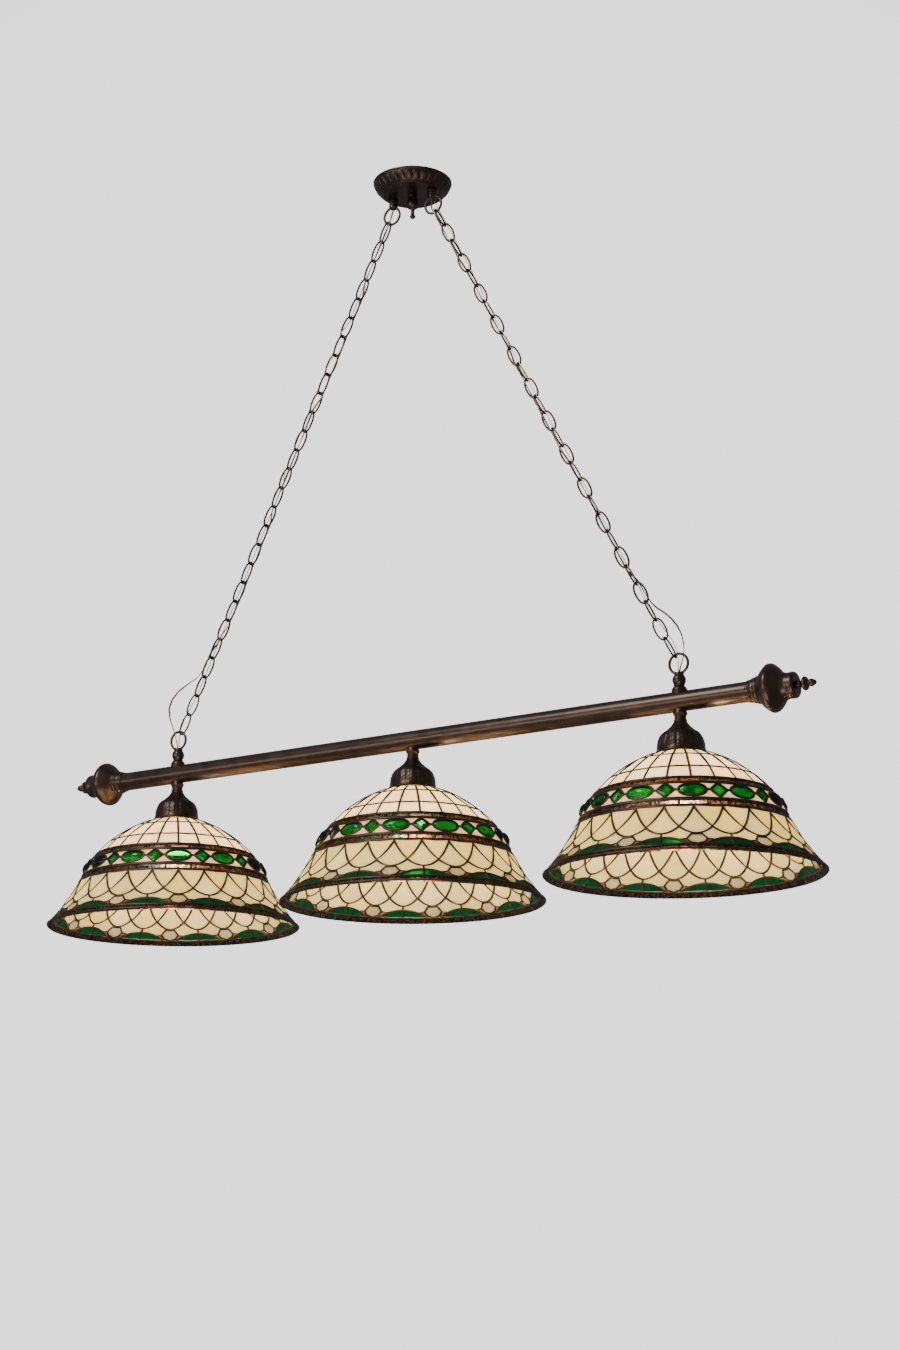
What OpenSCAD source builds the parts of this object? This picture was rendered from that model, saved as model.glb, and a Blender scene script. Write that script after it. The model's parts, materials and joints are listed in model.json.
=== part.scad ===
// Three-shade pool table lamp: a canopy, two chains, a tube bar and three leaded-glass shades.
// Origin: centre of the canopy's ceiling plane. +X runs along the bar, +Z is up.

/* [Shades] */
// Outer radius of a shade at its rim
shade_r = 203.2; // [200:0.1:206]
// Distance between neighbouring shades along the bar
shade_pitch = 457.2; // [450:0.1:465]
// Height of the rims below the ceiling plane
rim_drop = 1196.4; // [1194:0.1:1198]
// Thickness of the glass
glass_t = 3.2; // [2.5:0.1:3.6]
// Radius of the solder beads that join the glass bands
solder_r = 2; // [1.9:0.1:2.2]

/* [Bar] */
// Outer radius of the bar tube
bar_r = 15; // [15:0.1:15.5]
// Wall of the bar tube
bar_wall = 1.5; // [1:0.1:2]
// Depth of the bar's axis below the ceiling plane
bar_drop = 942.4; // [941.5:0.1:943]
// Distance from the middle of the lamp to the tip of a finial
half_length = 670; // [665:0.5:680]
// Length of tube hidden in each end cap
cap_grip = 44; // [36:1:46]

/* [Canopy] */
// Radius of the canopy's rim at the ceiling
canopy_r = 64.7; // [64:0.1:66]
// Depth of the canopy's flat floor
canopy_depth = 21; // [20.5:0.1:21.5]
// Wall of the cast canopy
canopy_wall = 1.6; // [1.2:0.1:2]
// Distance between the two screw holes of the crossbar
crossbar_holes = 88.9; // [82:0.1:92]
// Radius of those screw holes
crossbar_hole_r = 2.4; // [2:0.1:2.8]

/* [Loops and chain] */
// Radius of a loop's ring, to the middle of its wire
ring_r = 14.9; // [14.5:0.1:15.3]
// Thickness of a loop's wire
ring_wire = 4; // [3.6:0.1:4.2]
// Thickness of a chain link's wire
link_wire = 2.8; // [2.4:0.1:3]
// Width over a chain link
link_w = 20; // [19:0.5:21]
// Clearance between linked wires
link_gap = 0.5; // [0.4:0.05:0.6]

/* [Cords] */
// Diameter of the lamp cord
cord_d = 3.4; // [3:0.1:3.4]
// Diameter of the bare ground wire
ground_d = 1.4; // [1:0.1:1.6]

/* [Pipe and sockets] */
// Outer radius of the threaded pipe
pipe_r = 4.8; // [4.7:0.05:4.85]
// Radius of the pipe's bore
pipe_bore_r = 3.3; // [3:0.1:3.5]
// Outer radius of a lamp socket
socket_r = 17.5; // [16.5:0.5:19]
// Radius of a bulb's screw base
bulb_base_r = 13; // [12.9:0.05:13.1]
// Largest radius of a bulb
bulb_r = 30; // [27:1:31]
// Running clearance of the turning pieces, in radius
run_gap = 0.05; // [0.02:0.01:0.1]
// Clearance of the fixed pieces, in radius
fit_gap = 0.1; // [0.05:0.05:0.2]

/* [Hidden] */
SIDES = ["left", "right"];
PLACES = ["left", "middle", "right"];
SHADE_NODES = ["shade_crown", "shade_jewel_band", "shade_skirt", "shade_leading"];
PENDANT_NODES = ["pipe", "shade_neck", "vase_cap", "socket", "bulb_glass", "bulb_base"];
CHAIN_NODES = ["canopy_loop", "upper_link", "chain", "lower_link", "lamp_cord", "ground_wire"];
BAR_NODES = ["bar_loop", "end_plug", "end_cap", "finial"];
$fn = 48;

BRONZE = "#3a2a22";
IRON = "#8d8f92";
COPPER = "#b5653a";
CORD = "#6b4a25";
IVORY = "#f2ddb0";
EMERALD = "#1d7d3c";
LEAD = "#4a3a22";
BRASS = "#b08d4a";
OPAL = "#fff6df";
GREEN_SCREW = "#2e9b4f";

// Heights of the bar and of what hangs below it
bar_z = -bar_drop;
rim_z = -rim_drop;
tube_end_x = half_length - 104 + cap_grip;
seat_h = 179.4;             // top face of a shade's seat plate, above the rim
plate_t = 1.5;
nut_t = 5;
socket_top_h = seat_h - plate_t - nut_t;
socket_len = 51;
socket_bottom_h = socket_top_h - socket_len;
base_len = 26;
bulb_len = 82;
pipe_low_z = rim_z + socket_top_h - 8;

// Loops: the rings lie in the XZ plane
canopy_loop_x = 37.5;
canopy_ring = [40, -48.5];
bar_ring = [shade_pitch, -885.5];
loop_top_z = -899;

// The chain runs straight from ring to ring
link_count = 27;            // with its two end links
chain_dx = bar_ring[0] - canopy_ring[0];
chain_dz = canopy_ring[1] - bar_ring[1];
chain_lean = atan2(chain_dx, chain_dz);
chain_run = norm([chain_dx, chain_dz]) - 2 * ring_r;
link_step = (chain_run + ring_wire + link_gap) / link_count;
link_len = link_step + link_gap + 2 * link_wire;
// From the upper ring's wire to the middle of the first link
first_mid = (link_len - link_wire) / 2 - (link_wire + ring_wire) / 2 - link_gap;
link_a = (link_len - link_wire) / 2;
link_b = (link_w - link_wire) / 2;

// Shade section: a concave skirt arc and a convex dome arc that meet at the shoulder
skirt_c = [434.9, 212.2];
skirt_out_r = norm([skirt_c[0] - shade_r, skirt_c[1]]);
dome_c = [-22.9, -14.3];
dome_out_r = 200;
shoulder_h = 100;
skirt_a0 = 180 + atan2(skirt_c[1], skirt_c[0] - shade_r);
skirt_a1 = 180 + asin((skirt_c[1] - shoulder_h) / skirt_out_r);
dome_a0 = asin((shoulder_h - dome_c[1]) / dome_out_r);
dome_a1 = acos((27 - dome_c[0]) / dome_out_r);
lower_joint_a = skirt_a0 - 86 / skirt_out_r * 180 / PI;
upper_joint_a = dome_a0 + 18.6 / dome_out_r * 180 / PI;

// Cord routes, by hand: [distance down the chain, in-plane offset outwards, offset towards +Y].
// A cord changes side only through the middle of a link.
CORD_TOP = [
    [-32, 5.7, -1.1], [-26, 2.8, -1.3], [-14, -1.6, -4], [-7, -3.7, -4.7], [20, -3.7, -4.3],
    [104, -3.6, -4.2], [127, -3.6, 4.2], [306, -3.6, 4.2], [329, -3.6, -4.2], [509, -3.6, -4.2],
    [531, -3.6, 4.2]
];
CORD_TAIL_LEFT = [
    [711, -3.6, 4.2], [733, -3.6, -4.2], [745, -3.4, -4.4], [767, 3.4, -4.4], [792, 3.6, -4.2],
    [812, 9.5, -4.5], [828, 22.5, -5], [845, 35, -5], [862, 41.5, -5], [878, 40.5, -5],
    [893, 30.5, -4.8], [905, 17, -4.4], [914, 8, -4], [923, 1, -2.4], [930, -4, -1.2],
    [938, -8.6, -1.2]
];
CORD_TAIL_RIGHT = [
    [745, -3.4, 4.4], [767, 3.4, 4.4], [792, 3.8, 4.4], [812, 6, 4.6], [822, 9, 4.8],
    [836, 15.8, 5], [851, 21, 5], [866, 23.6, 5], [880, 23.4, 5], [892, 20.8, 4.8],
    [903, 16.4, 4.4], [912, 11, 4.1], [922, 2.5, 2.6], [930, -4, 1.2], [938, -8.6, 1.2]
];
GROUND_TOP = [
    [-32, 5.7, 1.9], [-26, 3, 2.2], [-12, 3, 4], [0, 3.2, 4.6], [20, 3.2, 4.4],
    [173, 3.2, 4.4], [193, 3.2, -4.4]
];
GROUND_TAIL_LEFT = [
    [443, 3.2, -4.4], [463, 3.2, 4.4], [830, 3.2, 4.4], [860, 6, 4.6], [885, 9.5, 4.6],
    [905, 8, 4.2], [914, 4, 3.6], [923, -0.5, 2.8], [930, -4.6, 2], [938, -8.6, 1.9]
];
GROUND_TAIL_RIGHT = [
    [830, 3.2, -4.4], [860, 6, -4.6], [885, 9.5, -4.6], [905, 8, -4.2], [914, 4, -3.6],
    [923, -0.5, -2.8], [930, -4.6, -2], [938, -8.6, -1.9]
];

// ---------- helpers ----------

function blend4(p0, p1, p2, p3, t) = 0.5 * (2 * p1 + (p2 - p0) * t
    + (2 * p0 - 5 * p1 + 4 * p2 - p3) * t * t + (3 * p1 - p0 - 3 * p2 + p3) * t * t * t);

// Smooth curve through the points of a turned profile
function smooth(p, k = 3) = let (n = len(p)) [
    for (i = [0:n - 2], j = [0:k - 1])
        blend4(p[max(i - 1, 0)], p[i], p[i + 1], p[min(i + 2, n - 1)], j / k),
    p[n - 1]
];

function arc(c, r, a0, a1, n = 12) = [
    for (i = [0:n]) let (a = a0 + (a1 - a0) * i / n) [c[0] + r * cos(a), c[1] + r * sin(a)]
];

function side_sign(side) = side == "left" ? -1 : 1;

function place_x(place) = (place == "left" ? -1 : place == "right" ? 1 : 0) * shade_pitch;

function unit(v) = v / norm(v);

// A round tube swept along a route, as one polyhedron
module swept_tube(route, d, sides = 8) {
    n = len(route);
    heading = [
        for (i = [0:n - 1]) unit(route[min(i + 1, n - 1)] - route[max(i - 1, 0)])
    ];
    ring_points = [
        for (i = [0:n - 1], j = [0:sides - 1])
            let (
                across = unit(cross([0, 1, 0], heading[i])),
                upward = cross(heading[i], across),
                a = 360 * j / sides
            )
            route[i] + d / 2 * (cos(a) * across + sin(a) * upward)
    ];
    walls = [
        for (i = [0:n - 2], j = [0:sides - 1])
            let (k = (j + 1) % sides)
            [i * sides + j, i * sides + k, (i + 1) * sides + k, (i + 1) * sides + j]
    ];
    start = [for (j = [sides - 1:-1:0]) j];
    finish = [for (j = [0:sides - 1]) (n - 1) * sides + j];
    polyhedron(ring_points, concat([start], walls, [finish]), convexity = 10);
}

// A hexagon nut with a through hole, standing on its lower face
module hex_nut(flats, hole_r, t) {
    difference() {
        cylinder(r = flats / sqrt(3), h = t, $fn = 6);
        translate([0, 0, -1]) cylinder(r = hole_r, h = t + 2);
    }
}

// ---------- canopy ----------

module canopy_shell() {
    outer = smooth([
        [canopy_r, 0], [canopy_r - 0.2, -3], [62.3, -8], [58.5, -13], [54.5, -17],
        [50.4, -19.6], [47, -canopy_depth], [45, -canopy_depth]
    ]);
    last = len(outer) - 1;
    inner = [for (i = [last:-1:0]) outer[i] + canopy_wall * [-1, i / last]];
    color(BRONZE) difference() {
        rotate_extrude() polygon(concat(
            [[0, -canopy_depth]], [[0, -canopy_depth + canopy_wall]], inner, outer
        ));
        translate([0, 0, -canopy_depth - 1]) cylinder(r = pipe_r + 0.4, h = 4);
        for (x = [-canopy_loop_x, canopy_loop_x])
            translate([x, 0, -canopy_depth - 1]) cylinder(r = pipe_r + fit_gap, h = 4);
    }
}

module mounting_crossbar() {
    bar_l = crossbar_holes + 13;
    color(IRON) difference() {
        translate([-7.5, -bar_l / 2, -2.4]) cube([15, bar_l, 2.4]);
        translate([0, 0, -4]) cylinder(r = pipe_r + fit_gap, h = 6);
        for (y = [-crossbar_holes / 2, crossbar_holes / 2])
            translate([0, y, -4]) cylinder(r = crossbar_hole_r, h = 6);
        translate([0, 22, -4]) cylinder(r = 2, h = 6);
    }
}

module crossbar_pipe() {
    color(BRASS) translate([0, 0, -36]) difference() {
        cylinder(r = pipe_r, h = 36);
        translate([0, 0, -1]) cylinder(r = pipe_bore_r, h = 38);
    }
}

module canopy_nuts() {
    floor_z = -canopy_depth + canopy_wall;
    color(BRASS) {
        translate([0, 0, -2.5 - 4]) hex_nut(14, pipe_r + fit_gap, 4);
        for (x = [-canopy_loop_x, canopy_loop_x])
            translate([x, 0, floor_z]) hex_nut(14, pipe_r + fit_gap, 4);
    }
}

module ground_screw() {
    color(GREEN_SCREW) {
        translate([0, 22, -8]) cylinder(r = 1.9, h = 8);
        translate([0, 22, -11]) cylinder(r = 4, h = 3, $fn = 6);
    }
}

module canopy_knob() {
    top_z = -canopy_depth - 0.3;
    profile = smooth([
        [0, -63], [2.6, -62.6], [4.6, -60.6], [4.7, -58.6], [3.4, -56.4], [3.1, -52], [3.5, -47.5],
        [5.4, -45.4], [8.6, -43.4], [9.9, -41], [9.6, -37.5], [8.6, -32], [7.4, -27]
    ]);
    color(BRONZE) difference() {
        rotate_extrude() polygon(concat(profile, [[7.4, top_z], [0, top_z]]));
        translate([0, 0, -38]) cylinder(r = pipe_r + run_gap, h = 20);
    }
}

// Wire ring of a loop, in the XZ plane
module loop_ring(centre) {
    translate([centre[0], 0, centre[1]]) rotate([90, 0, 0])
        rotate_extrude() translate([ring_r, 0]) circle(r = ring_wire / 2);
}

module canopy_loop(side) {
    s = side_sign(side);
    color(BRONZE) difference() {
        union() {
            translate([s * canopy_loop_x, 0, 0]) {
                rotate_extrude() polygon(concat([[0, -36]], smooth([
                    [6.4, -36], [7.4, -34.6], [7.4, -31], [6.6, -29.6], [7.4, -28], [7.8, -24]
                ]), [[7.8, -canopy_depth], [0, -canopy_depth]]));
                translate([0, 0, -canopy_depth - 1]) cylinder(r = pipe_r, h = 9);
            }
            loop_ring([s * canopy_ring[0], canopy_ring[1]]);
        }
        translate([s * canopy_loop_x, 0, -38]) cylinder(r = 3, h = 30);
    }
}

// ---------- chain ----------

// One chain link, flat in the XY plane with its length along Y
module link() {
    straight = link_a - link_b;
    for (turn = [0, 180]) rotate([0, 0, turn]) {
        translate([0, straight, 0]) rotate_extrude(angle = 180) translate([link_b, 0])
            circle(r = link_wire / 2);
        translate([link_b, -straight, 0]) rotate([-90, 0, 0])
            cylinder(r = link_wire / 2, h = 2 * straight);
    }
}

// Places children in a chain's own frame: -Z runs down the chain, +X points outwards
module chain_frame(side) {
    s = side_sign(side);
    mirror([s < 0 ? 1 : 0, 0, 0])
        translate([canopy_ring[0], 0, canopy_ring[1]]) rotate([0, -chain_lean, 0])
            translate([0, 0, -ring_r]) children();
}

// Link number i, counted from 0 at the canopy; even links stand across the chain's plane
module placed_link(i) {
    translate([0, 0, -first_mid - i * link_step]) rotate([0, 0, i % 2 == 0 ? 90 : 0])
        rotate([90, 0, 0]) link();
}

module upper_link(side) {
    color(BRONZE) chain_frame(side) placed_link(0);
}

module chain(side) {
    color(BRONZE) chain_frame(side) for (i = [1:link_count - 2]) placed_link(i);
}

module lower_link(side) {
    color(BRONZE) chain_frame(side) placed_link(link_count - 1);
}

// ---------- cords ----------

module lamp_cord(side) {
    route = concat(CORD_TOP, side == "left" ? CORD_TAIL_LEFT : CORD_TAIL_RIGHT);
    color(CORD) chain_frame(side) swept_tube([for (p = route) [p[1], p[2], -p[0]]], cord_d);
}

module ground_wire(side) {
    route = concat(GROUND_TOP, side == "left" ? GROUND_TAIL_LEFT : GROUND_TAIL_RIGHT);
    color(COPPER) chain_frame(side) swept_tube([for (p = route) [p[1], p[2], -p[0]]], ground_d);
}

// ---------- bar ----------

module bar_tube() {
    inner_r = bar_r - bar_wall;
    color(BRONZE) difference() {
        translate([-tube_end_x, 0, bar_z]) rotate([0, 90, 0]) difference() {
            cylinder(r = bar_r, h = 2 * tube_end_x);
            translate([0, 0, -1]) cylinder(r = inner_r, h = 2 * tube_end_x + 2);
        }
        for (place = PLACES)
            translate([place_x(place), 0, bar_z - bar_r - 1])
                cylinder(r = pipe_r + fit_gap, h = place == "middle" ? bar_r : 2 * bar_r + 2);
    }
}

module bar_loop(side) {
    s = side_sign(side);
    color(BRONZE) difference() {
        union() {
            translate([s * shade_pitch, 0, 0]) rotate_extrude() polygon(concat(
                [[0, loop_top_z]], smooth([
                    [6.6, loop_top_z], [7.2, -900.5], [7.2, -903.5], [8.6, -905], [9.5, -907.6],
                    [10, -911], [9.3, -914.6], [7.8, -917], [7.7, -919], [9, -920.5], [10.6, -922.5],
                    [11.6, -925.5]
                ]), [[11.6, -934], [0, -934]]
            ));
            loop_ring([s * bar_ring[0], bar_ring[1]]);
        }
        translate([s * shade_pitch, 0, -940]) cylinder(r = pipe_r + fit_gap, h = 32);
        translate([s * shade_pitch, 0, -920]) cylinder(r = 3.4, h = 30);
        translate([s * shade_pitch - 40, 0, bar_z]) rotate([0, 90, 0])
            cylinder(r = bar_r + 0.02, h = 80);
    }
}

// Profile point of an end cap: distance in from the finial's tip, and radius
function cap_point(p) = [p[1], half_length - p[0]];

module along_bar(side) {
    mirror([side_sign(side) < 0 ? 1 : 0, 0, 0]) translate([0, 0, bar_z]) rotate([0, 90, 0]) children();
}

module end_plug(side) {
    color(IRON) along_bar(side) {
        translate([0, 0, tube_end_x - 12]) cylinder(r = bar_r - bar_wall - fit_gap, h = 12);
        translate([0, 0, tube_end_x - 1]) cylinder(r = 2, h = half_length - 15 - tube_end_x + 1);
    }
}

module end_cap(side) {
    outline = smooth([for (p = [
        [30, 16], [31.5, 18.6], [34, 19.3], [40, 19], [45.5, 19.5], [48, 20.4], [52, 23.6], [57, 29.6],
        [61.5, 33.8], [65.5, 35.4], [69, 35.3], [73, 32.8], [78, 28.4], [82, 24.2], [85, 21.2],
        [86.5, 20.3], [89.5, 20.3], [91, 18.8], [94, 18.6], [96, 17.4], [104, 16.2]
    ]) cap_point(p)]);
    tail = half_length - 104;
    color(BRONZE) along_bar(side) difference() {
        rotate_extrude() polygon(concat([[0, half_length - 30]], outline, [[0, tail]]));
        translate([0, 0, tail - 1]) cylinder(r = bar_r + fit_gap, h = cap_grip + 1);
        translate([0, 0, tail + cap_grip - 1]) cylinder(r = 13, h = 22);
        translate([0, 0, tail]) cylinder(r = 2.4, h = 110);
    }
}

module finial(side) {
    outline = smooth([for (p = [
        [0, 0], [0.5, 1.6], [2.5, 3.5], [6, 5.3], [9, 5.7], [11.6, 4.9], [12.6, 5.4], [13.8, 8.2],
        [16, 10], [18.6, 10], [21, 8.2], [22.6, 5.6], [25, 4.6], [27.4, 4.9]
    ]) cap_point(p)]);
    foot = half_length - 29.7;
    color(BRONZE) along_bar(side) difference() {
        rotate_extrude() polygon(concat(outline, [[6, foot], [0, foot]]));
        translate([0, 0, foot - 1]) cylinder(r = 2 + run_gap, h = 16.2);
    }
}

module pipe_nuts() {
    color(BRASS) {
        translate([0, 0, bar_z - 10.6]) hex_nut(14, pipe_r + fit_gap, 4);
        for (place = PLACES)
            translate([place_x(place), 0, rim_z + socket_top_h]) hex_nut(15, pipe_r + fit_gap, nut_t);
    }
}

// ---------- pendants ----------

module pipe(place) {
    top_z = place == "middle" ? bar_z + 8 : -909;
    color(BRASS) translate([place_x(place), 0, pipe_low_z]) difference() {
        cylinder(r = pipe_r, h = top_z - pipe_low_z);
        translate([0, 0, -1]) cylinder(r = pipe_bore_r, h = top_z - pipe_low_z + 2);
    }
}

module shade_neck(place) {
    color(BRONZE) translate([place_x(place), 0, 0]) difference() {
        rotate_extrude() polygon(concat([[0, -970]], smooth([
            [8.6, -970], [9, -969], [8.3, -967.8], [9, -966.6], [8.4, -965.2], [9.2, -963.6],
            [10.6, -961], [10.6, -959], [9.4, -957]
        ]), [[9.4, -950], [0, -950]]));
        translate([0, 0, -975]) cylinder(r = pipe_r + fit_gap, h = 30);
        translate([-40, 0, bar_z]) rotate([0, 90, 0]) cylinder(r = bar_r + 0.02, h = 80);
    }
}

function vase_outline() = smooth([
    [9, -970], [9.6, -972], [11.6, -975.5], [14.4, -979.5], [16.8, -982.4], [19, -984.4], [23.6, -987],
    [27.8, -990], [30.8, -993.6], [32.8, -998], [34.4, -1003], [35.2, -1008], [35.8, -1013],
    [36.8, -1017], [38, -1019.4]
], 2);

module vase_cap(place) {
    outer = vase_outline();
    n = len(outer);
    inner = [for (i = [n - 1:-1:4]) outer[i] + [-2, -1.6 * (1 - i / n)]];
    color(BRONZE) translate([place_x(place), 0, 0]) difference() {
        rotate_extrude() polygon(concat([[0, -970]], outer, inner, [[0, -980]]));
        translate([0, 0, -990]) cylinder(r = pipe_r + fit_gap, h = 30);
        translate([0, 0, rim_z]) rotate_extrude() polygon(concat(
            [[0, 0]], arc(dome_c, dome_out_r + 0.1, dome_a0, 83, 14), [[0, 184]]
        ));
    }
}

module socket(place) {
    color(OPAL) translate([place_x(place), 0, rim_z]) difference() {
        rotate_extrude() polygon([
            [0, socket_top_h], [11, socket_top_h], [14.5, socket_top_h - 3],
            [socket_r, socket_top_h - 9], [socket_r, socket_bottom_h], [0, socket_bottom_h]
        ]);
        translate([0, 0, socket_bottom_h - 1])
            cylinder(r = bulb_base_r + run_gap, h = base_len + 2.5);
        translate([0, 0, socket_top_h - 9]) cylinder(r = pipe_r + fit_gap, h = 20);
    }
}

function bulb_outline(shrink) = let (r = bulb_r - shrink, low = socket_bottom_h - bulb_len) concat(
    arc([0, low + bulb_r], r, -90, 20, 10),
    smooth([[r * 0.9, low + bulb_r + 14], [22.5 - shrink, low + 56], [16.5 - shrink, low + 68],
        [13.6 - shrink, low + 76], [13 - shrink, low + bulb_len - 0.4]])
);

module bulb_glass(place) {
    outer = bulb_outline(0);
    inner = bulb_outline(1);
    color(OPAL) translate([place_x(place), 0, rim_z])
        rotate_extrude() polygon(concat(outer, [for (i = [len(inner) - 1:-1:0]) inner[i]]));
}

module bulb_base(place) {
    color(BRASS) translate([place_x(place), 0, rim_z + socket_bottom_h - 0.4]) {
        cylinder(r = bulb_base_r, h = base_len - 4);
        translate([0, 0, base_len - 4]) cylinder(r1 = bulb_base_r - 1, r2 = 5, h = 4);
    }
}

// ---------- shades ----------

function skirt_point(r, a) = [skirt_c[0] + r * cos(a), skirt_c[1] + r * sin(a)];

function dome_point(r, a) = [dome_c[0] + r * cos(a), dome_c[1] + r * sin(a)];

function lower_joint() = skirt_point(skirt_out_r + glass_t / 2, lower_joint_a);

function upper_joint() = dome_point(dome_out_r - glass_t / 2, upper_joint_a);

function rim_bead() = [shade_r - 1.8, 1.8];

// Cross-section of the glass over part of the skirt arc
module skirt_section(a0, a1) {
    polygon(concat(
        arc(skirt_c, skirt_out_r, a0, a1, 10), arc(skirt_c, skirt_out_r + glass_t, a1, a0, 10)
    ));
}

// Cross-section of the glass over part of the dome arc
module dome_section(a0, a1) {
    polygon(concat(
        arc(dome_c, dome_out_r, a0, a1, 10), arc(dome_c, dome_out_r - glass_t, a1, a0, 10)
    ));
}

module solder_gap(centre, r = solder_r) {
    translate(centre) circle(r = r + 0.02);
}

module shade_crown(place) {
    color(IVORY) translate([place_x(place), 0, rim_z]) rotate_extrude() difference() {
        dome_section(upper_joint_a, dome_a1);
        solder_gap(upper_joint());
    }
}

module shade_jewel_band(place) {
    shoulder_mid = dome_point(dome_out_r - glass_t / 2, dome_a0);
    color(EMERALD) translate([place_x(place), 0, rim_z]) rotate_extrude() difference() {
        union() {
            skirt_section(lower_joint_a, skirt_a1 - 0.35);
            dome_section(dome_a0, upper_joint_a);
            translate(shoulder_mid) circle(r = glass_t / 2);
        }
        solder_gap(lower_joint());
        solder_gap(upper_joint());
    }
}

module shade_skirt(place) {
    color(IVORY) translate([place_x(place), 0, rim_z]) rotate_extrude() difference() {
        skirt_section(skirt_a0 - 0.5, lower_joint_a);
        solder_gap(lower_joint());
        solder_gap(rim_bead(), 1.8);
    }
}

module shade_leading(place) {
    color(LEAD) translate([place_x(place), 0, rim_z]) {
        rotate_extrude() translate(rim_bead()) circle(r = 1.8);
        rotate_extrude() translate(lower_joint()) circle(r = solder_r);
        rotate_extrude() translate(upper_joint()) circle(r = solder_r);
    }
}

// The three plates that the shades hang by
module seat_plates() {
    color(BRASS) for (place = PLACES) translate([place_x(place), 0, rim_z]) difference() {
        translate([0, 0, seat_h - plate_t]) cylinder(r = 27 - glass_t / 2, h = plate_t);
        translate([0, 0, seat_h - 5]) cylinder(r = pipe_r + fit_gap, h = 10);
        rotate_extrude() dome_section(upper_joint_a, dome_a1 + 0.2);
    }
}

// ---------- assembly ----------

canopy_shell();
mounting_crossbar();
crossbar_pipe();
canopy_nuts();
ground_screw();
canopy_knob();
bar_tube();
pipe_nuts();
seat_plates();
for (side = SIDES) {
    canopy_loop(side);
    upper_link(side);
    chain(side);
    lower_link(side);
    lamp_cord(side);
    ground_wire(side);
    bar_loop(side);
    end_plug(side);
    end_cap(side);
    finial(side);
}
for (place = PLACES) {
    pipe(place);
    shade_neck(place);
    vase_cap(place);
    socket(place);
    bulb_glass(place);
    bulb_base(place);
    shade_crown(place);
    shade_jewel_band(place);
    shade_skirt(place);
    shade_leading(place);
}
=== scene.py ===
"""Looks of a hanging billiard lamp with leaded-glass shades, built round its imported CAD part.

All lengths in this script are in millimetres in the part's own frame (+X along the bar, +Z up,
origin in the ceiling plane), and MeshPiece turns them into metres when it makes an object.
"""

import json
import logging
import math
import random
from dataclasses import dataclass, field
from enum import Enum
from typing import Callable, NamedTuple, Optional, Sequence

import bpy
import numpy as np
from mathutils import Matrix, Vector

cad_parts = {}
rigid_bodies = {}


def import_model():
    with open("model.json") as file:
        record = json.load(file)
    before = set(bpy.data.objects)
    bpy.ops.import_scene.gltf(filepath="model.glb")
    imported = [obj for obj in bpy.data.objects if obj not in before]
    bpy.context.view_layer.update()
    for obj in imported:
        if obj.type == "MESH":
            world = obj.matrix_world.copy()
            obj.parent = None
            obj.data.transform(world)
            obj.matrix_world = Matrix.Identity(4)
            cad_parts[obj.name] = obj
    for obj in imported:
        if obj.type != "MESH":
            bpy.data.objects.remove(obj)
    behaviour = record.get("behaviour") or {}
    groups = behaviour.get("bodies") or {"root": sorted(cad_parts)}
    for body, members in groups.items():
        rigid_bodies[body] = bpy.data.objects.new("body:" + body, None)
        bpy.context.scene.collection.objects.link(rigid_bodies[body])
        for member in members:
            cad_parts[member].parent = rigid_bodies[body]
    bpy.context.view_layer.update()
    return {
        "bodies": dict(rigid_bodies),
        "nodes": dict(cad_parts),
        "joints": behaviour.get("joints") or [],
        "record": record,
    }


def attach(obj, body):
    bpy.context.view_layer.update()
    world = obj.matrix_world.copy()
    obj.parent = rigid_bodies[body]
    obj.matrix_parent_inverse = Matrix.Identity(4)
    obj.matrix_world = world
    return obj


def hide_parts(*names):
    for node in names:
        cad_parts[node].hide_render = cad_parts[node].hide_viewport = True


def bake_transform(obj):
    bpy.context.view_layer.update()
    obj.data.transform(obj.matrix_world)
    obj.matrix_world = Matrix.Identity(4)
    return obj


logging.basicConfig(level=logging.INFO)
LOG = logging.getLogger("billiard_lamp")
MM = 0.001
WELD = 0.001
SEED = 41
SIDES = {"left": -1, "right": 1}
PLACES = {"left": -1, "middle": 0, "right": 1}
PITCH = 457.2
HALF_LENGTH = 670.0
BAR_Z = -942.4
BAR_R = 15.0
RIM_Z = -1196.4
RING_R = 14.9


# ---------------------------------------------------------------- curves and meshes


def smooth_line(points: Sequence[Sequence[float]], k: int = 4) -> np.ndarray:
    """Returns a smooth curve through points, with each span cut into k steps."""
    p = np.asarray(points, float)
    q = np.vstack([p[:1], p, p[-1:]])
    t = (np.arange(k) / k)[:, None]
    out = []
    for i in range(len(p) - 1):
        a, b, c, d = q[i], q[i + 1], q[i + 2], q[i + 3]
        out.append(0.5 * (2 * b + (c - a) * t + (2 * a - 5 * b + 4 * c - d) * t**2
                          + (3 * b - a - 3 * c + d) * t**3))
    out.append(p[-1:])
    return np.vstack(out)


def unit(v: np.ndarray) -> np.ndarray:
    """Scales vectors, along the last axis, to length 1."""
    return v / np.maximum(np.linalg.norm(v, axis=-1, keepdims=True), 1e-12)


def circle(radius: float, sides: int) -> np.ndarray:
    """Returns a round section as an array of (sides, 2)."""
    a = 2 * np.pi * np.arange(sides) / sides
    return radius * np.c_[np.cos(a), np.sin(a)]


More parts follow.
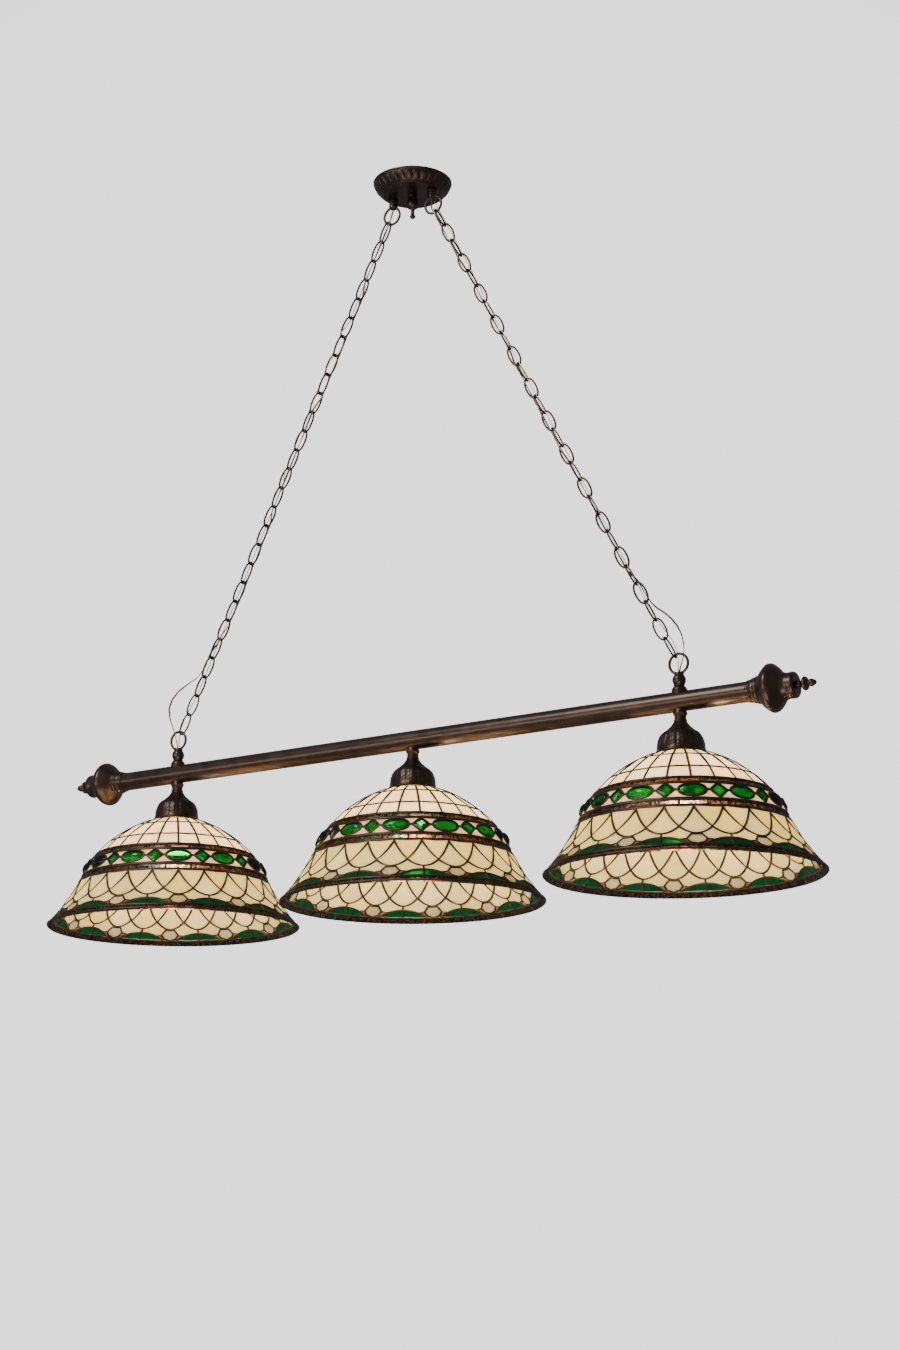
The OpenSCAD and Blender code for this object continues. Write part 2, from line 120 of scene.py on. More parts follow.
def tube_rings(path: np.ndarray, section: np.ndarray, normals: Optional[np.ndarray] = None,
               closed: bool = False, spin: Optional[np.ndarray] = None) -> np.ndarray:
    """Places a section at each point of a path.

    Args:
        path: points along the middle, (n, 3).
        section: the section's outline, (m, 2), its second coordinate along the normal.
        normals: the direction of the section's second coordinate at each point. Without it the
            section is carried along the path with no twist of its own.
        closed: whether the path's end meets its start.
        spin: an angle at each point, in radians, by which the section is turned.

    Returns:
        The rings' points, (n, m, 3).
    """
    if closed:
        tangents = unit(np.roll(path, -1, 0) - np.roll(path, 1, 0))
    else:
        tangents = unit(np.gradient(path, axis=0))
    if normals is None:
        start = np.array([0.0, 1.0, 0.0])
        if abs(tangents[0] @ start) > 0.9:
            start = np.array([1.0, 0.0, 0.0])
        normals = np.empty_like(path)
        for i, t in enumerate(tangents):
            start = start - (start @ t) * t
            normals[i] = start = unit(start)
    side = unit(np.cross(tangents, normals))
    up = unit(np.cross(side, tangents))
    if spin is not None:
        c, s = np.cos(spin)[:, None], np.sin(spin)[:, None]
        side, up = side * c + up * s, up * c - side * s
    return (path[:, None] + section[None, :, :1] * side[:, None]
            + section[None, :, 1:] * up[:, None])


def volume(verts: np.ndarray, faces: Sequence[Sequence[int]]) -> float:
    """Gives six times the volume that faces enclose, above 0 where they face outwards."""
    fans = np.array([(f[0], f[i], f[i + 1]) for f in faces for i in range(1, len(f) - 1)])
    a, b, c = (verts - verts.mean(0))[fans].transpose(1, 0, 2)
    return float(np.einsum("ij,ij->", a, np.cross(b, c)))


def spun(profile: np.ndarray, sides: int, closed: bool) -> tuple[np.ndarray, list]:
    """Turns a profile: a vertex is drawn out along it, and the line is spun about Z.

    Args:
        profile: (radius, height) points, in order.
        sides: how many sides the turned surface has.
        closed: whether the profile's end meets its start.

    Returns:
        The vertices, (n, 3), and the faces, closed at both ends and facing outwards.
    """
    points = np.array([(r, 0.0, h) for r, h in profile])
    if closed:
        points = np.vstack([points, points[:1]])
    bpy.ops.object.select_all(action="DESELECT")
    bpy.ops.mesh.primitive_plane_add(size=1.0, location=(0, 0, 0))
    blank = bpy.context.object
    bpy.ops.object.mode_set(mode="EDIT")
    bpy.ops.mesh.select_all(action="SELECT")
    bpy.ops.mesh.merge(type="CENTER")
    bpy.ops.transform.translate(value=points[0])
    for step in np.diff(points, axis=0):
        bpy.ops.mesh.extrude_vertices_move(TRANSFORM_OT_translate={"value": step})
    bpy.ops.mesh.select_all(action="SELECT")
    bpy.ops.mesh.spin(steps=sides, angle=2 * math.pi, center=(0, 0, 0), axis=(0, 0, 1))
    bpy.ops.mesh.select_all(action="SELECT")
    bpy.ops.mesh.remove_doubles(threshold=WELD)
    bpy.ops.mesh.fill_holes(sides=0)
    bpy.ops.mesh.select_all(action="SELECT")
    bpy.ops.mesh.normals_make_consistent(inside=False)
    bpy.ops.object.mode_set(mode="OBJECT")
    mesh = blank.data
    verts = np.empty(3 * len(mesh.vertices), np.float32)
    mesh.vertices.foreach_get("co", verts)
    faces = [tuple(f.vertices) for f in mesh.polygons]
    bpy.data.objects.remove(blank)
    bpy.data.meshes.remove(mesh)
    return verts.reshape(-1, 3).astype(float), faces


def placed(name: str, data: bpy.types.ID) -> bpy.types.Object:
    """Makes an object of data and puts it in the scene."""
    obj = bpy.data.objects.new(name, data)
    bpy.context.scene.collection.objects.link(obj)
    return obj


class MeshPiece:
    """One visible piece: collects parts in millimetres, then becomes an object on a body."""

    def __init__(self, name: str, look: "Look") -> None:
        """Starts an empty piece with its name and finish."""
        self.name, self.look = name, look
        self.verts: list[np.ndarray] = []
        self.faces: list[tuple[int, ...]] = []
        self.tints: list[np.ndarray] = []
        self.count = 0

    def add(self, verts: np.ndarray, faces: Sequence[Sequence[int]], tint: float = 0.5) -> None:
        """Adds a closed part of the mesh, with one tint from 0 to 1 for its colour variation."""
        verts = np.asarray(verts, float).reshape(-1, 3)
        base = self.count
        turn = 1 if volume(verts, faces) > 0 else -1
        self.faces.extend(tuple(base + i for i in f[::turn]) for f in faces)
        self.verts.append(verts)
        self.tints.append(np.full(len(verts), tint))
        self.count += len(verts)

    def add_tube(self, rings: np.ndarray, closed: bool = False, tint: float = 0.5) -> None:
        """Adds a swept tube from its rings, (n, m, 3), with flat ends unless it is closed."""
        n, m = rings.shape[:2]
        faces = []
        for i in range(n if closed else n - 1):
            a, b = i * m, ((i + 1) % n) * m
            faces += [(a + j, a + (j + 1) % m, b + (j + 1) % m, b + j) for j in range(m)]
        if not closed:
            faces += [tuple(range(m - 1, -1, -1)), tuple((n - 1) * m + j for j in range(m))]
        self.add(rings.reshape(-1, 3), faces, tint)

    def add_lathe(self, profile: np.ndarray, centre: Sequence[float] = (0, 0, 0),
                  sides: int = 96, axis: str = "Z", closed: bool = True,
                  shape: Optional[Callable] = None) -> None:
        """Adds a turned part.

        Args:
            profile: (radius, height) points, in order.
            centre: where the axis starts.
            sides: how many sides the turned surface has.
            axis: "Z", "X" or "-X", the direction in which height grows.
            closed: whether the profile's end meets its start.
            shape: gives radii at all angles for a radius and height, for lobes and petals.
        """
        if shape is not None:
            a = 2 * np.pi * np.arange(sides) / sides
            rings = [np.c_[shape(a, r, h) * np.cos(a), shape(a, r, h) * np.sin(a), h + 0 * a]
                     for r, h in profile]
            self.add_tube(np.array(rings) + centre, closed=closed)
            return
        verts, faces = spun(profile, sides, closed)
        if axis != "Z":
            s = 1 if axis == "X" else -1
            verts = np.c_[s * verts[:, 2], s * verts[:, 1], verts[:, 0]]
        self.add(verts + centre, faces)

    def build(self, body: Optional[str], replaces: Sequence[str] = (),
              smooth_angle: Optional[float] = 50.0) -> bpy.types.Object:
        """Makes the object, in metres, and puts it on its body.

        Args:
            body: the CAD body it rides on, or None to leave it on no body.
            replaces: the CAD nodes that it stands for.
            smooth_angle: edges sharper than this stay sharp; None leaves all faces flat.

        Returns:
            The new object.
        """
        mesh = bpy.data.meshes.new(self.name)
        mesh.from_pydata((np.vstack(self.verts) * MM).tolist(), [], self.faces)
        mesh.update()
        tint = mesh.attributes.new("tint", "FLOAT", "POINT")
        tint.data.foreach_set("value", np.concatenate(self.tints).astype(np.float32))
        mesh.materials.append(self.look.material)
        obj = placed(self.name, mesh)
        if smooth_angle is not None:
            mesh.polygons.foreach_set("use_smooth", np.ones(len(mesh.polygons), bool))
            mesh.set_sharp_from_angle(angle=math.radians(smooth_angle))
        if body is not None:
            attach(obj, body)
        if replaces:
            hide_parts(*replaces)
        return obj


# ---------------------------------------------------------------- finishes


class Graph:
    """A short way of wiring a material's nodes."""

    def __init__(self, name: str) -> None:
        """Starts an empty material called name."""
        self.material = bpy.data.materials.new(name)
        self.material.use_nodes = True
        self.tree = self.material.node_tree
        self.tree.nodes.clear()

    def add(self, kind: str, inputs: Optional[dict] = None, **props) -> bpy.types.Node:
        """Adds a node; an input is a socket to link or a constant to set."""
        n = self.tree.nodes.new("ShaderNode" + kind)
        for key, value in props.items():
            setattr(n, key, value)
        for key, value in (inputs or {}).items():
            if isinstance(value, bpy.types.NodeSocket):
                self.tree.links.new(value, n.inputs[key])
            else:
                n.inputs[key].default_value = value
        return n

    def place(self) -> bpy.types.NodeSocket:
        """Returns the Object coordinates."""
        return self.add("TexCoord").outputs["Object"]

    def noise(self, scale: float, detail: float = 3.0, rough: float = 0.5,
              distortion: float = 0.0, vector=None) -> bpy.types.NodeSocket:
        """Returns a noise value at a scale per metre."""
        n = self.add("TexNoise", {
            "Vector": vector or self.place(), "Scale": scale, "Detail": detail,
            "Roughness": rough, "Distortion": distortion})
        return n.outputs[0]

    def ramp(self, value, stops: Sequence[tuple]) -> bpy.types.NodeSocket:
        """Returns a colour ramp of (position, (r, g, b)) stops over value."""
        n = self.add("ValToRGB", {"Fac": value})
        elements = n.color_ramp.elements
        for i, (at, rgb) in enumerate(stops):
            e = elements[i] if i < 2 else elements.new(at)
            e.position, e.color = at, (*rgb, 1.0)
        return n.outputs["Color"]

    def span(self, value, low: float, high: float, a: float = 0.0,
             b: float = 1.0) -> bpy.types.NodeSocket:
        """Maps value from a..b to low..high."""
        return self.add("MapRange", {
            "Value": value, "From Min": a, "From Max": b, "To Min": low,
            "To Max": high}).outputs["Result"]

    def math(self, operation: str, a, b=0.0) -> bpy.types.NodeSocket:
        """Returns one step of arithmetic."""
        return self.add("Math", {0: a, 1: b}, operation=operation).outputs[0]

    def mix(self, factor, a, b) -> bpy.types.NodeSocket:
        """Mixes two colours; a constant colour is (r, g, b)."""
        n = self.add("Mix", data_type="RGBA")
        for index, value in ((0, factor), (6, a), (7, b)):
            if isinstance(value, bpy.types.NodeSocket):
                self.tree.links.new(value, n.inputs[index])
            else:
                n.inputs[index].default_value = (*value, 1.0) if index else value
        return n.outputs[2]

    def bump(self, height, strength: float, distance: float) -> bpy.types.NodeSocket:
        """Returns a normal bumped by height, distance in metres."""
        return self.add("Bump", {
            "Height": height, "Strength": strength, "Distance": distance}).outputs["Normal"]

    def tint(self) -> bpy.types.NodeSocket:
        """Returns the tint stored on the mesh."""
        return self.add("Attribute", attribute_name="tint").outputs["Fac"]


class Look(NamedTuple):
    """A material, and the record's material slot that it belongs to."""

    material: bpy.types.Material
    slot: str


@dataclass(frozen=True)
class Finish:
    """What every finish has."""

    name: str
    slot: str

    def dress(self, g: Graph, shader: bpy.types.Node) -> Look:
        """Links the shader to the output and returns the finished look."""
        out = g.add("OutputMaterial")
        g.tree.links.new(shader.outputs[0], out.inputs["Surface"])
        return Look(g.material, self.slot)


@dataclass(frozen=True)
class MetalFinish(Finish):
    """A painted, plated or bare metal with mottling, grain and uneven gloss."""

    dark: tuple
    light: tuple
    rough: tuple = (0.28, 0.42)
    mottle: float = 45.0
    grain: float = 0.12
    coat: float = 0.25
    metallic: float = 0.85

    def build(self) -> Look:
        """Makes the material."""
        g = Graph(self.name)
        broad = g.noise(self.mottle, 3, 0.5)
        fine = g.noise(self.mottle * 14, 3, 0.6)
        colour = g.ramp(g.math("ADD", broad, g.span(fine, -0.12, 0.12)),
                        [(0.2, self.dark), (0.85, self.light)])
        return self.dress(g, g.add("BsdfPrincipled", {
            "Base Color": colour, "Metallic": self.metallic,
            "Roughness": g.span(broad, *self.rough, 0.25, 0.75),
            "Coat Weight": self.coat, "Coat Roughness": 0.3,
            "Normal": g.bump(fine, self.grain, 0.0004)}))


@dataclass(frozen=True)
class OpalFinish(Finish):
    """Opalescent sheet glass lit from behind, with a painted glow standing in for the bulb's
    light.
    """

    clear: tuple
    cloud: tuple
    warm: tuple
    painted_glow: float

    def build(self) -> Look:
        """Makes the material."""
        g = Graph(self.name)
        tint = g.tint()
        shift = g.add("CombineXYZ", {0: g.math("MULTIPLY", tint, 3.1), 1: tint, 2: tint})
        at = g.add("VectorMath", {0: g.place(), 1: shift.outputs[0]}, operation="ADD")
        wisps = g.noise(26, 5, 0.62, 1.4, vector=at.outputs[0])
        fine = g.noise(150, 3, 0.5, 0.4)
        base = g.mix(g.span(wisps, 0, 1, 0.36, 0.66), self.clear, self.cloud)
        base = g.mix(g.span(tint, 0.0, 0.85, 0.45, 1.0), base, self.warm)
        value = g.span(g.math("FRACT", g.math("MULTIPLY", tint, 7.3)), 0.9, 1.06)
        shade = g.add("HueSaturation", {"Color": base, "Value": value}).outputs[0]
        normal = g.bump(g.math("ADD", wisps, g.math("MULTIPLY", fine, 0.35)), 0.25, 0.0012)
        gloss = g.add("BsdfPrincipled", {
            "Base Color": shade, "Roughness": 0.25, "Specular IOR Level": 0.3,
            # Painted glow: the glass's own colour is emitted, standing in for bulb light coming
            # through it.
            "Normal": normal, "Emission Color": shade, "Emission Strength": self.painted_glow})
        through = g.add("BsdfTranslucent", {"Color": shade, "Normal": normal})
        return self.dress(g, g.add("MixShader", {
            0: 0.62, 1: gloss.outputs[0], 2: through.outputs[0]}))


@dataclass(frozen=True)
class ClearFinish(Finish):
    """Clear coloured glass, which is dark until a lamp stands behind it, with a painted glow."""

    colour: tuple
    deep: tuple
    rough: float
    ripple: float
    ripple_scale: float
    depth: float
    through: float
    painted_glow: float = 0.0
    painted_glints: float = 0.0

    def build(self) -> Look:
        """Makes the material."""
        g = Graph(self.name)
        waves = g.noise(self.ripple_scale, 3, 0.55, 1.2)
        colour = g.mix(g.span(waves, 0, 1, 0.35, 0.7), self.colour, self.deep)
        # Painted glints: random patches of rainbow colour stand in for the ripple glass's lit
        # glints and iridescent sheen.
        if self.painted_glints > 0:
            glint_hue = g.math("ADD", g.math("MULTIPLY", g.tint(), 2.7),
                          g.math("MULTIPLY", g.noise(120, 3, 0.6, 2.0), 0.3))
            painted_glint_colours = g.ramp(g.math("FRACT", g.math("MULTIPLY", glint_hue, 1.9)), [
                (0.0, (0.9, 0.42, 0.36)), (0.22, (0.95, 0.8, 0.72)), (0.42, (0.95, 0.5, 0.2)),
                (0.6, (0.5, 0.5, 0.8)), (0.78, (0.55, 0.75, 0.5)), (1.0, (0.9, 0.42, 0.36))])
            painted_glint_mask = g.span(g.noise(190, 2, 0.5, 1.5), 0.05, self.painted_glints, 0.42, 0.6)
            colour = g.mix(painted_glint_mask, colour, painted_glint_colours)
        normal = g.bump(waves, self.ripple, 0.0016)
        # Painted glow: the colour, painted glints included, is emitted faintly as a stand-in for
        # light coming through.
        gloss = g.add("BsdfPrincipled", {
            "Base Color": g.mix(self.depth, colour, (0.008, 0.008, 0.008)), "Roughness": 0.12,
            "Specular IOR Level": 0.6, "Coat Weight": 0.4, "Coat Roughness": 0.08,
            "Normal": normal, "Emission Color": colour, "Emission Strength": self.painted_glow})
        dimmed = g.add("HueSaturation", {"Color": colour, "Value": self.through}).outputs[0]
        through = g.add("BsdfRefraction", {
            "Color": dimmed, "Roughness": self.rough, "IOR": 1.12, "Normal": normal})
        return self.dress(g, g.add("MixShader", {
            0: 0.7, 1: gloss.outputs[0], 2: through.outputs[0]}))


class CordFinish(Finish):
    """Translucent cord jacket with the wire showing faintly through."""

    def build(self) -> Look:
        """Makes the material."""
        g = Graph(self.name)
        strand = g.noise(380, 2, 0.5)
        colour = g.ramp(strand, [(0.35, (0.10, 0.05, 0.022)), (0.7, (0.24, 0.13, 0.05))])
        return self.dress(g, g.add("BsdfPrincipled", {
            "Base Color": colour, "Roughness": 0.28, "Coat Weight": 0.5,
            "Coat Roughness": 0.15, "Subsurface Weight": 0.15,
            "Subsurface Scale": 0.002, "Normal": g.bump(strand, 0.1, 0.0003)}))


class GlowFinish(Finish):
    """Frosted lamp bulb that is switched on."""

    def build(self) -> Look:
        """Makes the material."""
        g = Graph(self.name)
        colour = g.ramp(g.noise(40, 2, 0.5), [(0.2, (1.0, 0.80, 0.56)), (0.8, (1.0, 0.86, 0.66))])
        return self.dress(g, g.add("BsdfPrincipled", {
            "Base Color": (0.95, 0.92, 0.86, 1), "Roughness": 0.35,
            "Emission Color": colour, "Emission Strength": 62.0}))


class GlazeFinish(Finish):
    """Glazed porcelain of the lamp sockets."""

    def build(self) -> Look:
        """Makes the material."""
        g = Graph(self.name)
        cloud = g.noise(60, 3, 0.5)
        return self.dress(g, g.add("BsdfPrincipled", {
            "Base Color": g.ramp(cloud, [(0.3, (0.74, 0.71, 0.64)), (0.7, (0.86, 0.84, 0.78))]),
            "Roughness": g.span(cloud, 0.14, 0.24), "Coat Weight": 0.6,
            "Normal": g.bump(cloud, 0.08, 0.0005)}))


class Glass(Enum):
    """The kinds of glass in a shade, each with its finish."""

    # Each opal glass's last number is its painted glow, strongest in the crown nearest the bulbs.
    CROWN = OpalFinish("opal_crown", "ivory_glass", (1.0, 0.75, 0.42), (1.0, 0.85, 0.56),
                       (1.0, 0.72, 0.40), 2.9)
    PEACH = OpalFinish("opal_peach", "ivory_glass", (0.98, 0.74, 0.46), (1.0, 0.84, 0.60),
                       (0.98, 0.68, 0.38), 1.0)
    SKIRT = OpalFinish("opal_skirt", "skirt_glass", (0.95, 0.77, 0.31), (0.94, 0.82, 0.45),
                       (0.98, 0.79, 0.25), 1.15)
    PEARL = OpalFinish("opal_pearl", "skirt_glass", (0.80, 0.69, 0.36), (0.88, 0.79, 0.49),
                       (0.78, 0.63, 0.30), 0.4)
    BLUSH = OpalFinish("opal_blush", "skirt_glass", (0.52, 0.28, 0.19), (0.66, 0.42, 0.3),
                       (0.5, 0.24, 0.14), 0.03)
    LEAF = ClearFinish("leaf_green", "jewel_glass", (0.0, 0.46, 0.15), (0.0, 0.26, 0.09),
                       0.32, 0.35, 55, depth=0.55, through=0.4, painted_glow=0.06)
    RIPPLE = ClearFinish("ripple_glass", "jewel_glass", (0.13, 0.075, 0.075),
                         (0.05, 0.03, 0.04), 0.65, 0.9, 170, depth=0.93, through=1.0,
                         painted_glow=0.006, painted_glints=0.9)
    JEWEL = ClearFinish("jewel_green", "jewel_glass", (0.0, 0.5, 0.13), (0.0, 0.34, 0.09),
                        0.18, 0.05, 30, depth=0.94, through=1.0)


class Finishes:
    """All the finishes of the lamp, made once."""

    def __init__(self) -> None:
        """Makes each material."""
        self.bronze = MetalFinish("aged_bronze", "bronze", (0.05, 0.031, 0.022),
                                  (0.095, 0.06, 0.043), (0.3, 0.4), grain=0.05).build()
        self.cast = MetalFinish("cast_bronze", "bronze", (0.026, 0.017, 0.012),
                                (0.085, 0.052, 0.038), (0.3, 0.44), 70, 0.2).build()
        self.chain = MetalFinish("chain_bronze", "chain_bronze", (0.022, 0.015, 0.012),
                                 (0.075, 0.05, 0.038), (0.26, 0.4), 160).build()
        self.steel = MetalFinish("zinc_steel", "", (0.42, 0.43, 0.44), (0.62, 0.62, 0.6),
                                 coat=0.0, metallic=1.0).build()
        self.brass = MetalFinish("thread_brass", "brass", (0.45, 0.31, 0.12),
                                 (0.72, 0.55, 0.26), (0.2, 0.36), coat=0.0,
                                 metallic=1.0).build()
        self.copper = MetalFinish("bare_copper", "copper", (0.48, 0.2, 0.1), (0.8, 0.42, 0.27),
                                  (0.2, 0.34), 200, coat=0.0, metallic=1.0).build()
        self.nickel = MetalFinish("screw_shell", "nickel", (0.5, 0.48, 0.43),
                                  (0.72, 0.7, 0.64), (0.15, 0.3), coat=0.0,
                                  metallic=1.0).build()
        self.green_paint = MetalFinish("green_screw", "", (0.02, 0.2, 0.06),
                                       (0.05, 0.34, 0.12), metallic=0.6).build()
        self.solder = MetalFinish("dark_solder", "leading", (0.035, 0.022, 0.01),
                                  (0.12, 0.078, 0.036), (0.3, 0.46), 120, 0.3, 0.1,
                                  0.8).build()
        self.cord = CordFinish("cord_jacket", "cord").build()
        self.bulb = GlowFinish("bulb_frost", "bulb_glass").build()
        self.porcelain = GlazeFinish("porcelain", "porcelain").build()
        self.glass = {glass: glass.value.build() for glass in Glass}


# ---------------------------------------------------------------- shades


@dataclass(frozen=True)
class Pane:
    """A piece of sheet glass: its outline in (degrees, distance up from the rim)."""

    glass: Glass
    outline: tuple
    band: str


class ShadeForm:
    """Outer face of a shade: a hollow skirt arc that meets a domed arc at the shoulder."""

    skirt_centre = np.array([434.9, 212.2])
    dome_centre = np.array([-22.9, -14.3])
    skirt_r = math.hypot(434.9 - 203.2, 212.2)
    dome_r = 200.0

    def __init__(self) -> None:
        """Works out the arcs' angles and the skirt's length."""
        self.a0 = math.pi + math.atan2(212.2, 434.9 - 203.2)
        a1 = math.pi + math.asin((212.2 - 100) / self.skirt_r)
        self.skirt_len = (self.a0 - a1) * self.skirt_r
        self.dome_a0 = math.asin((100 + 14.3) / self.dome_r)

    def section(self, s: np.ndarray) -> tuple[np.ndarray, np.ndarray]:
        """Returns (radius, height) and outward (radius, height) directions at distances s."""
        s = np.asarray(s, float)[:, None]
        a = self.a0 - s / self.skirt_r
        skirt_dir = -np.hstack([np.cos(a), np.sin(a)])
        skirt = self.skirt_centre - self.skirt_r * skirt_dir
        b = self.dome_a0 + (s - self.skirt_len) / self.dome_r
        dome_dir = np.hstack([np.cos(b), np.sin(b)])
        dome = self.dome_centre + self.dome_r * dome_dir
        w = np.clip((s - self.skirt_len + 4) / 8, 0, 1)
        return np.where(s < self.skirt_len, skirt, dome), unit(skirt_dir * (1 - w) + dome_dir * w)

    def at(self, deg: np.ndarray, s: np.ndarray, off=0.0) -> tuple[np.ndarray, np.ndarray]:
        """Returns points, and outward normals, at angles and distances from the rim."""
        deg, s = np.broadcast_arrays(np.asarray(deg, float), np.asarray(s, float))
        p, n = self.section(s)
        p = p + n * np.broadcast_to(np.asarray(off, float), s.shape)[:, None]
        c, t = np.cos(np.radians(deg)), np.sin(np.radians(deg))
        return (np.c_[p[:, 0] * c, p[:, 0] * t, p[:, 1]],
                np.c_[n[:, 0] * c, n[:, 0] * t, n[:, 1]])


def scallop(centre: float) -> Callable[[np.ndarray], np.ndarray]:
    """Gives the scallop line that hangs at centre: distance from the rim at any angles."""
    return lambda a: 34 + 50 * np.abs((np.asarray(a, float) - centre) / 15) ** 1.9


def leaf_top(a: np.ndarray) -> np.ndarray:
    """Distance from the rim of a leaf's upper edge, from 3.4 degrees to its middle at 15."""
    return 12.6 + 13.9 * (1 - np.clip((15 - np.asarray(a, float)) / 11.6, 0, 1) ** 2.4)


def run(a0: float, a1: float, f: Callable, n: int = 7) -> list[tuple[float, float]]:
    """Samples a line of the pattern between two angles."""
    a = np.linspace(a0, a1, n)
    return list(zip(a.tolist(), np.asarray(f(a), float).tolist()))


def mirrored(points: Sequence[tuple]) -> tuple:
    """Mirrors an outline in the cell's middle, and keeps its direction."""
    return tuple((-a, s) for a, s in reversed(list(points)))


def block(a0: float, a1: float, s0: float, s1: float) -> tuple:
    """Outline of a four-sided pane."""
    return ((a0, s0), ((a0 + a1) / 2, s0), (a1, s0), (a1, s1), ((a0 + a1) / 2, s1), (a0, s1))


HEXAGON = ((0.0, 12.8), (2.9, 16.0), (4.3, 23.3), (2.4, 32.3), (-2.4, 32.3), (-4.3, 23.3),
           (-2.9, 16.0))
MIDDLE_R = 160
OVAL = (7.8, 10.5)
DIAMOND = (5.0, 12.4)
JEWEL_S = 112.5
ROWS = (12, 86, 97.5, 126.5, 138, 166, 211)
RIM_TOP, SKIRT_TOP, BAND_LOW, BAND_HIGH, CROWN_FOOT = ROWS[:5]
CROWN_TOP = 238
QUARTER = 7.5
QUARTERS = (-15, -7.5, 0, 7.5)
PANE_PIECES = {
    ("skirt", Glass.SKIRT): ("skirt_panes", "shade_skirt"),
    ("skirt", Glass.PEARL): ("hexagons", ""),
    ("skirt", Glass.BLUSH): ("fillers", ""),
    ("skirt", Glass.LEAF): ("leaves", ""),
    ("skirt", Glass.RIPPLE): ("rim_band", ""),
    ("band", Glass.RIPPLE): ("ripple_bands", ""),
    ("band", Glass.PEACH): ("jewel_ground", ""),
    ("crown", Glass.CROWN): ("crown_panes", "shade_crown"),
}


def cell_panes() -> list[Pane]:
    """Panes of one 30-degree repeat, centred on a hexagon and an oval jewel."""
    q = QUARTER
    panes = [Pane(Glass.RIPPLE, block(a, a + q, 1.2, RIM_TOP), "skirt") for a in QUARTERS]
    leaf = [(15.0, RIM_TOP)] + run(15, 3.4, leaf_top, 8) + [(8.0, RIM_TOP)]
    filler = [(4.3, 23.3), (2.9, 16.0), (3.5, 13.2), (5.4, 17.9), (7.6, 21.6)]
    rest = (run(2.4, q, scallop(0), 5) + run(q, 15, scallop(15), 6)[1:]
            + run(15, 7.6, leaf_top, 4) + [(4.3, 23.3), (2.4, 32.3)])
    for glass, outline in ((Glass.LEAF, leaf), (Glass.BLUSH, filler), (Glass.SKIRT, rest)):
        panes += [Pane(glass, tuple(outline), "skirt"), Pane(glass, mirrored(outline), "skirt")]
    panes.append(Pane(Glass.PEARL, HEXAGON, "skirt"))
    for c in (0, 15):
        kite = (run(c - q, c + q, scallop(c), 11) + run(c + q, c, scallop(c + 15))[1:]
                + run(c, c - q, scallop(c - 15))[1:-1])
        panes.append(Pane(Glass.SKIRT, tuple(kite), "skirt"))
    for c in (-q, q):
        scale = (run(c, c + q, scallop(c - q)) + [(c + x, SKIRT_TOP) for x in (q, 0, -q)]
                 + run(c - q, c, scallop(c + q))[:-1])
        panes.append(Pane(Glass.SKIRT, tuple(scale), "skirt"))
    for a in (-q, q):
        for s0, s1 in ((SKIRT_TOP, BAND_LOW), (BAND_HIGH, CROWN_FOOT)):
            panes.append(Pane(Glass.RIPPLE, block(a, a + 15, s0, s1), "band"))
    t = np.radians(np.linspace(0, 90, 6))
    for up in (1, -1):
        edge = JEWEL_S + up * 14.2
        quarter = ([(15 - DIAMOND[0], JEWEL_S)]
                   + [(OVAL[0] * math.cos(x), JEWEL_S + up * OVAL[1] * math.sin(x)) for x in t]
                   + [(0.0, edge), (q, edge), (15.0, edge), (15.0, JEWEL_S + up * DIAMOND[1])])
        quarter = quarter if up < 0 else quarter[::-1]
        panes += [Pane(Glass.PEACH, tuple(quarter), "band"),
                  Pane(Glass.PEACH, mirrored(quarter), "band")]
    for s0, s1 in zip(ROWS[4:], (*ROWS[5:], CROWN_TOP)):
        panes += [Pane(Glass.CROWN, block(a, a + 15, s0, s1), "crown") for a in (-15, 0)]
    return panes


def cell_leads() -> list[tuple[list, float]]:
    """Lead lines of one repeat: (points, half width in mm)."""
    leads = [([(a, s) for s in (1.5, 6.5, RIM_TOP)], 0.9) for a in QUARTERS]
    top = run(3.4, 15, leaf_top, 12)
    leads += [(top, 1.0), ([(-a, s) for a, s in top], 1.0),
              ([(15, s) for s in (RIM_TOP, 19, 26, 34)], 1.0), ([*HEXAGON, HEXAGON[0]], 1.05)]
    w, h = DIAMOND
    for m in (1, -1):
        leads += [([(m * 4.3, 23.3), (m * 6, 22.5), (m * 7.6, 21.6)], 0.8),
                  ([(m * 2.9, 16.0), (m * 3.5, 12.8)], 0.8),
                  ([(m * OVAL[0], JEWEL_S), (m * (15 - w), JEWEL_S)], 1.2),
                  ([(m * QUARTER, s) for s in (SKIRT_TOP, 92, BAND_LOW)], 0.9),
                  ([(m * QUARTER, s) for s in (BAND_HIGH, 132, CROWN_FOOT)], 0.9)]
    leads += [(run(c - 15, c + 15, scallop(c), 29), 1.05) for c in (0, 15)]
    t = np.radians(np.linspace(0, 360, 33))
    leads.append(([(OVAL[0] * math.cos(x), JEWEL_S + OVAL[1] * math.sin(x)) for x in t], 1.25))
    corners = ((w, 0), (0, h), (-w, 0), (0, -h), (w, 0))
    leads.append(([(15 + x, JEWEL_S + y) for x, y in corners], 1.25))
    for a, half in ((0, OVAL[1]), (15, h)):
        leads += [([(a, BAND_LOW), (a, JEWEL_S - half)], 1.0),
                  ([(a, JEWEL_S + half), (a, BAND_HIGH)], 1.0)]
    leads += [([(a, s) for s in np.linspace(CROWN_FOOT, CROWN_TOP - 1, 12)], 1.0)
              for a in (-15, 0)]
    return leads


def densified(points: Sequence[tuple], step: float) -> np.ndarray:
    """Cuts straight runs of a (degrees, distance) line into steps of about step mm."""
    p = np.asarray(points, float)
    out = [p[:1]]
    for a, b in zip(p[:-1], p[1:]):
        length = math.hypot(math.radians(b[0] - a[0]) * MIDDLE_R, b[1] - a[1])
        n = max(1, math.ceil(length / step))
        out.append(a + (b - a) * (np.arange(1, n + 1) / n)[:, None])
    return np.vstack(out)


